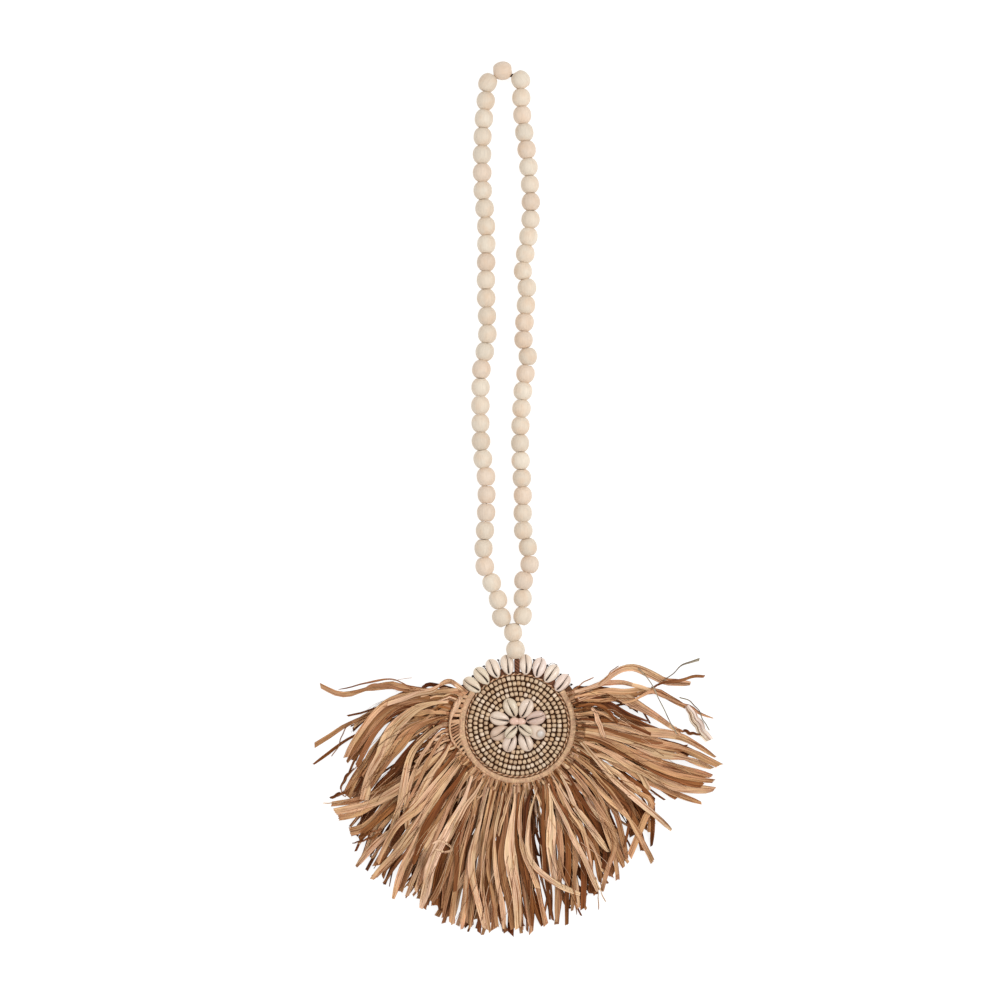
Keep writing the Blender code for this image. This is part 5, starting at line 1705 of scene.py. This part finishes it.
def loose_fibres(raffia, pile):
    """Hair-thin fibres that have split off and lie over the ribbons, some light and some dark."""
    rng = random.Random(44)
    shape = Shape()
    for k in range(LOOSE_FIBRES):
        root = FRINGE_FROM_DEG + FRINGE_SPAN_DEG * (k + rng.random()) / LOOSE_FIBRES
        tip, reach, bow = fan_at(root)
        tip += rng.uniform(-5.0, 5.0)
        bow += rng.uniform(-7.0, 7.0)
        line = ribbon_line(rng, Ribbon(root, tip, reach, bow, rng.uniform(-4.0, 4.0), 0, 0, 0))
        first = rng.randrange(*LOOSE_FIRST_POINT)
        line = line[first : first + rng.randrange(*LOOSE_POINTS)]
        radius = rng.uniform(*LOOSE_RADIUS_MM) * MM
        if covers_an_open_spot(line, radius):
            continue
        spine = []
        for here, there in zip(line, line[1:]):
            spine.append((*here, pile.highest(here, there, radius, radius) + radius))
        spine = pressed(np.array(spine))
        spine[1:-1, 2] = (spine[:-2, 2] + 2 * spine[1:-1, 2] + spine[2:, 2]) / 4 + 0.3 * MM
        tone = rng.uniform(0.0, 0.25) if rng.random() < 0.45 else rng.uniform(0.6, 1.0)
        taper = radius * np.linspace(1.0, 0.6, len(spine))
        fibre = (rng.uniform(0, 90), rng.uniform(0, 90), rng.uniform(0, 900))
        tube(shape, spine, taper, 4, tint=raffia_tint(rng, tone), fibre=fibre, edge=0.5)
    shape.piece("loose_fibres", raffia, ["fringe"])


COARSE_STITCH_DEG = 163.0  # where the header is widest
COARSE_SPREAD_DEG = 9.5
COARSE_EXTRA = 2.3 * MM
THIN_FROM_DEG = 165.0
THIN_FADE_DEG = 9.0
THINNED = 0.45
SHEET_STEPS = 240
SHEET_OVERLAP_DEG = (7.0, 6.0)  # how far the backing goes on past the fringe's two ends
SHEET_HEIGHTS = (2.6 * MM, 1.8 * MM)
RUNG_HEIGHTS = (6.4 * MM, 6.9 * MM, 7.4 * MM)
NOTCH_HEIGHTS = (8.0 * MM, 8.3 * MM)
NOTCH_SHAPE = np.array((0.6, 1.0, 1.0, 0.7, 0.35))


def ridge(degrees):
    """How far the header is a light ridge here, from 0 to 1."""
    return min(1.0, 1.3 * bulge(degrees))


def ridge_width(degrees):
    """The header is wide at the coarse stitches of the upper left, and a thin lip beside the fine ones."""
    away = (degrees - COARSE_STITCH_DEG) / COARSE_SPREAD_DEG
    thin = bulge(degrees) * min(max((degrees - THIN_FROM_DEG) / THIN_FADE_DEG, 0.0), 1.0)
    return HEADER_THICKNESS * (1.0 - THINNED * thin) + COARSE_EXTRA * math.exp(-away * away)


def header_section(degrees):
    outer = header_radius(degrees)
    wave = HEADER_WAVE_MM * math.sin(1.9 * degrees)
    height = (HEADER_LOW_MM + HEADER_RISE_MM * ridge(degrees) + wave) * MM
    return bar(outer - ridge_width(degrees), outer, height, 0.6, 12)


def header_tint(degrees):
    return HEADER_DARK + (HEADER_LIGHT - HEADER_DARK) * ridge(degrees)


def header(raffia, thread):
    """The strip under the roots: dark and low beside the band, a light ridge where it stands off the band."""
    strip = Shape()
    sweep(strip, header_section, FRINGE_FROM_DEG, FRINGE_TO_DEG, 300, header_tint)
    strip.piece("header_strip", raffia, ["fringe"])
    stitches = Shape()
    gap_sheet_and_hole_shade(stitches)
    rng = random.Random(12)
    rungs(stitches, rng)
    shade_notches(stitches)
    stitches.piece("header_stitches_and_shade", thread)


def gap_sheet_and_hole_shade(shape):
    """The thin sheet that fills the gap between the band and the header: dark with painted shade in its holes
    up to HOLES_TO_DEG, plain brown after it.
    """
    before, after = SHEET_OVERLAP_DEG
    edges, shades = [], []
    for k in range(SHEET_STEPS + 1):
        degrees = FRINGE_FROM_DEG - before + (FRINGE_SPAN_DEG + before + after) * k / SHEET_STEPS
        # Painted shade in the holes, up to HOLES_TO_DEG.
        shades += [PAINTED_HOLE_SHADE if degrees < HOLES_TO_DEG else BACKING_BROWN] * 2
        edges.append(polar(BAND_OUTER - 0.4 * MM, degrees))
        edges.append(polar(header_radius(degrees) + 2.5 * MM, degrees))
    points = [(*edge, height) for height in SHEET_HEIGHTS for edge in edges]
    sheet = len(edges)
    last = sheet - 2
    k = np.arange(SHEET_STEPS)
    top = np.stack((2 * k, 2 * k + 1, 2 * k + 3, 2 * k + 2), axis=1)
    near = np.stack((2 * k, 2 * k + 2, 2 * k + 2 + sheet, 2 * k + sheet), axis=1)
    far = np.stack((2 * k + 3, 2 * k + 1, 2 * k + 1 + sheet, 2 * k + 3 + sheet), axis=1)
    start = np.array([[0, sheet, sheet + 1, 1]])
    end = np.array([[last, last + 1, last + 1 + sheet, last + sheet]])
    shape.add(points, [top, top[:, ::-1] + sheet, near, far, start, end], tint=shades * 2)


def rungs(shape, rng):
    """The stitches that hold the header to the band across the gap."""
    for from_deg, to_deg, step, lean, radius in RUNGS:
        for k in range(int((to_deg - from_deg) / step) + 1):
            degrees = from_deg + step * (k + rng.uniform(-0.12, 0.12))
            near = polar(BAND_OUTER + 0.2 * MM, degrees)
            far = polar(header_radius(degrees + lean) - ridge_width(degrees) + 1.2 * MM, degrees + lean)
            ways = zip((near, (near + far) / 2, far), RUNG_HEIGHTS)
            line = evenly([(*spot, height) for spot, height in ways], 7)
            tint = RUNG_LIGHT if rng.random() < 0.75 else RUNG_DIM
            tube(shape, line, radius * rng.uniform(0.85, 1.15), 7, tint=tint)


def shade_notches(shape):
    """Short dark pieces at the band's outer edge: painted shade in the holes there."""
    for degrees, size in SHADE_NOTCHES:
        near = polar(BAND_OUTER + 0.6 * MM, degrees)
        far = polar(BAND_OUTER + 3.2 * MM, degrees + 0.4)
        line = evenly([(*spot, height) for spot, height in zip((near, far), NOTCH_HEIGHTS)], 5)
        tube(shape, line, NOTCH_SHAPE * size * MM, 8, tint=KNOT_BROWN_AND_SHADE)


# ------------------------------------------------------------- camera and stage


def add_camera():
    width = PHOTO_WIDTH_PX * PHOTO_MM_PER_PX * MM
    data = bpy.data.cameras.new("camera")
    data.lens = LENS_MM
    data.sensor_width = SENSOR_MM
    camera = bpy.data.objects.new("camera", data)
    x = (PHOTO_WIDTH_PX / 2 - DISC_IN_PHOTO_PX[0]) * PHOTO_MM_PER_PX * MM
    y = (DISC_IN_PHOTO_PX[1] - PHOTO_WIDTH_PX / 2) * PHOTO_MM_PER_PX * MM
    camera.location = (x, y, width * LENS_MM / SENSOR_MM + BEAD_AXIS_HEIGHT)
    data.clip_start = 0.05
    data.clip_end = 50.0
    bpy.context.collection.objects.link(camera)
    bpy.context.scene.camera = camera


def add_floor():
    n = Nodes("floor_white", 0.9, 0.1)
    n.shader.inputs["Base Color"].default_value = (0.3, 0.3, 0.3, 1.0)
    n.shader.inputs["Emission Color"].default_value = (1.0, 1.0, 1.0, 1.0)
    n.shader.inputs["Emission Strength"].default_value = 0.82
    mesh = bpy.data.meshes.new("floor")
    far = 6.0
    mesh.from_pydata([(-far, -far, 0), (far, -far, 0), (far, far, 0), (-far, far, 0)], [], [(0, 1, 2, 3)])
    mesh.materials.append(n.material)
    floor = bpy.data.objects.new("floor", mesh)
    bpy.context.collection.objects.link(floor)


# Name, place, size and power of each lamp.
LAMPS = (
    ("key", (1.2, 0.3, 1.6), 1.0, 20.5),
    ("fill", (-1.2, 0.35, 1.8), 1.6, 11.0),
)
LAMPS_AIM = (0.0, 0.15, 0.0)


def add_lights():
    scene = bpy.context.scene
    scene.view_settings.view_transform = "Standard"
    world = bpy.data.worlds.new("studio")
    scene.world = world
    world.use_nodes = True
    background = world.node_tree.nodes["Background"]
    background.inputs["Color"].default_value = (1.0, 1.0, 1.0, 1.0)
    background.inputs["Strength"].default_value = 0.6
    for name, place, size, power in LAMPS:
        data = bpy.data.lights.new(name, "AREA")
        data.size = size
        data.energy = power
        lamp = bpy.data.objects.new(name, data)
        lamp.location = place
        aim = np.array(LAMPS_AIM) - np.array(place)
        yaw = math.atan2(aim[0], -aim[1])
        pitch = math.atan2(math.hypot(aim[0], aim[1]), -aim[2])
        lamp.rotation_euler = (pitch, 0.0, yaw + math.pi)
        bpy.context.collection.objects.link(lamp)


add_camera()
add_floor()
add_lights()

wood = wood_material()
thread = thread_material()
raffia = raffia_material()
wound = band_material()
glaze = seed_material()
gloss = shell_material()

wooden_loop(wood, thread)
stem_cord(thread)
ground(thread)
row_threads(thread)
seed_rows(glaze)
coil(thread)
band(wound)
shells(gloss)
rim_stitching(thread)
header(raffia, thread)
fringe(raffia)
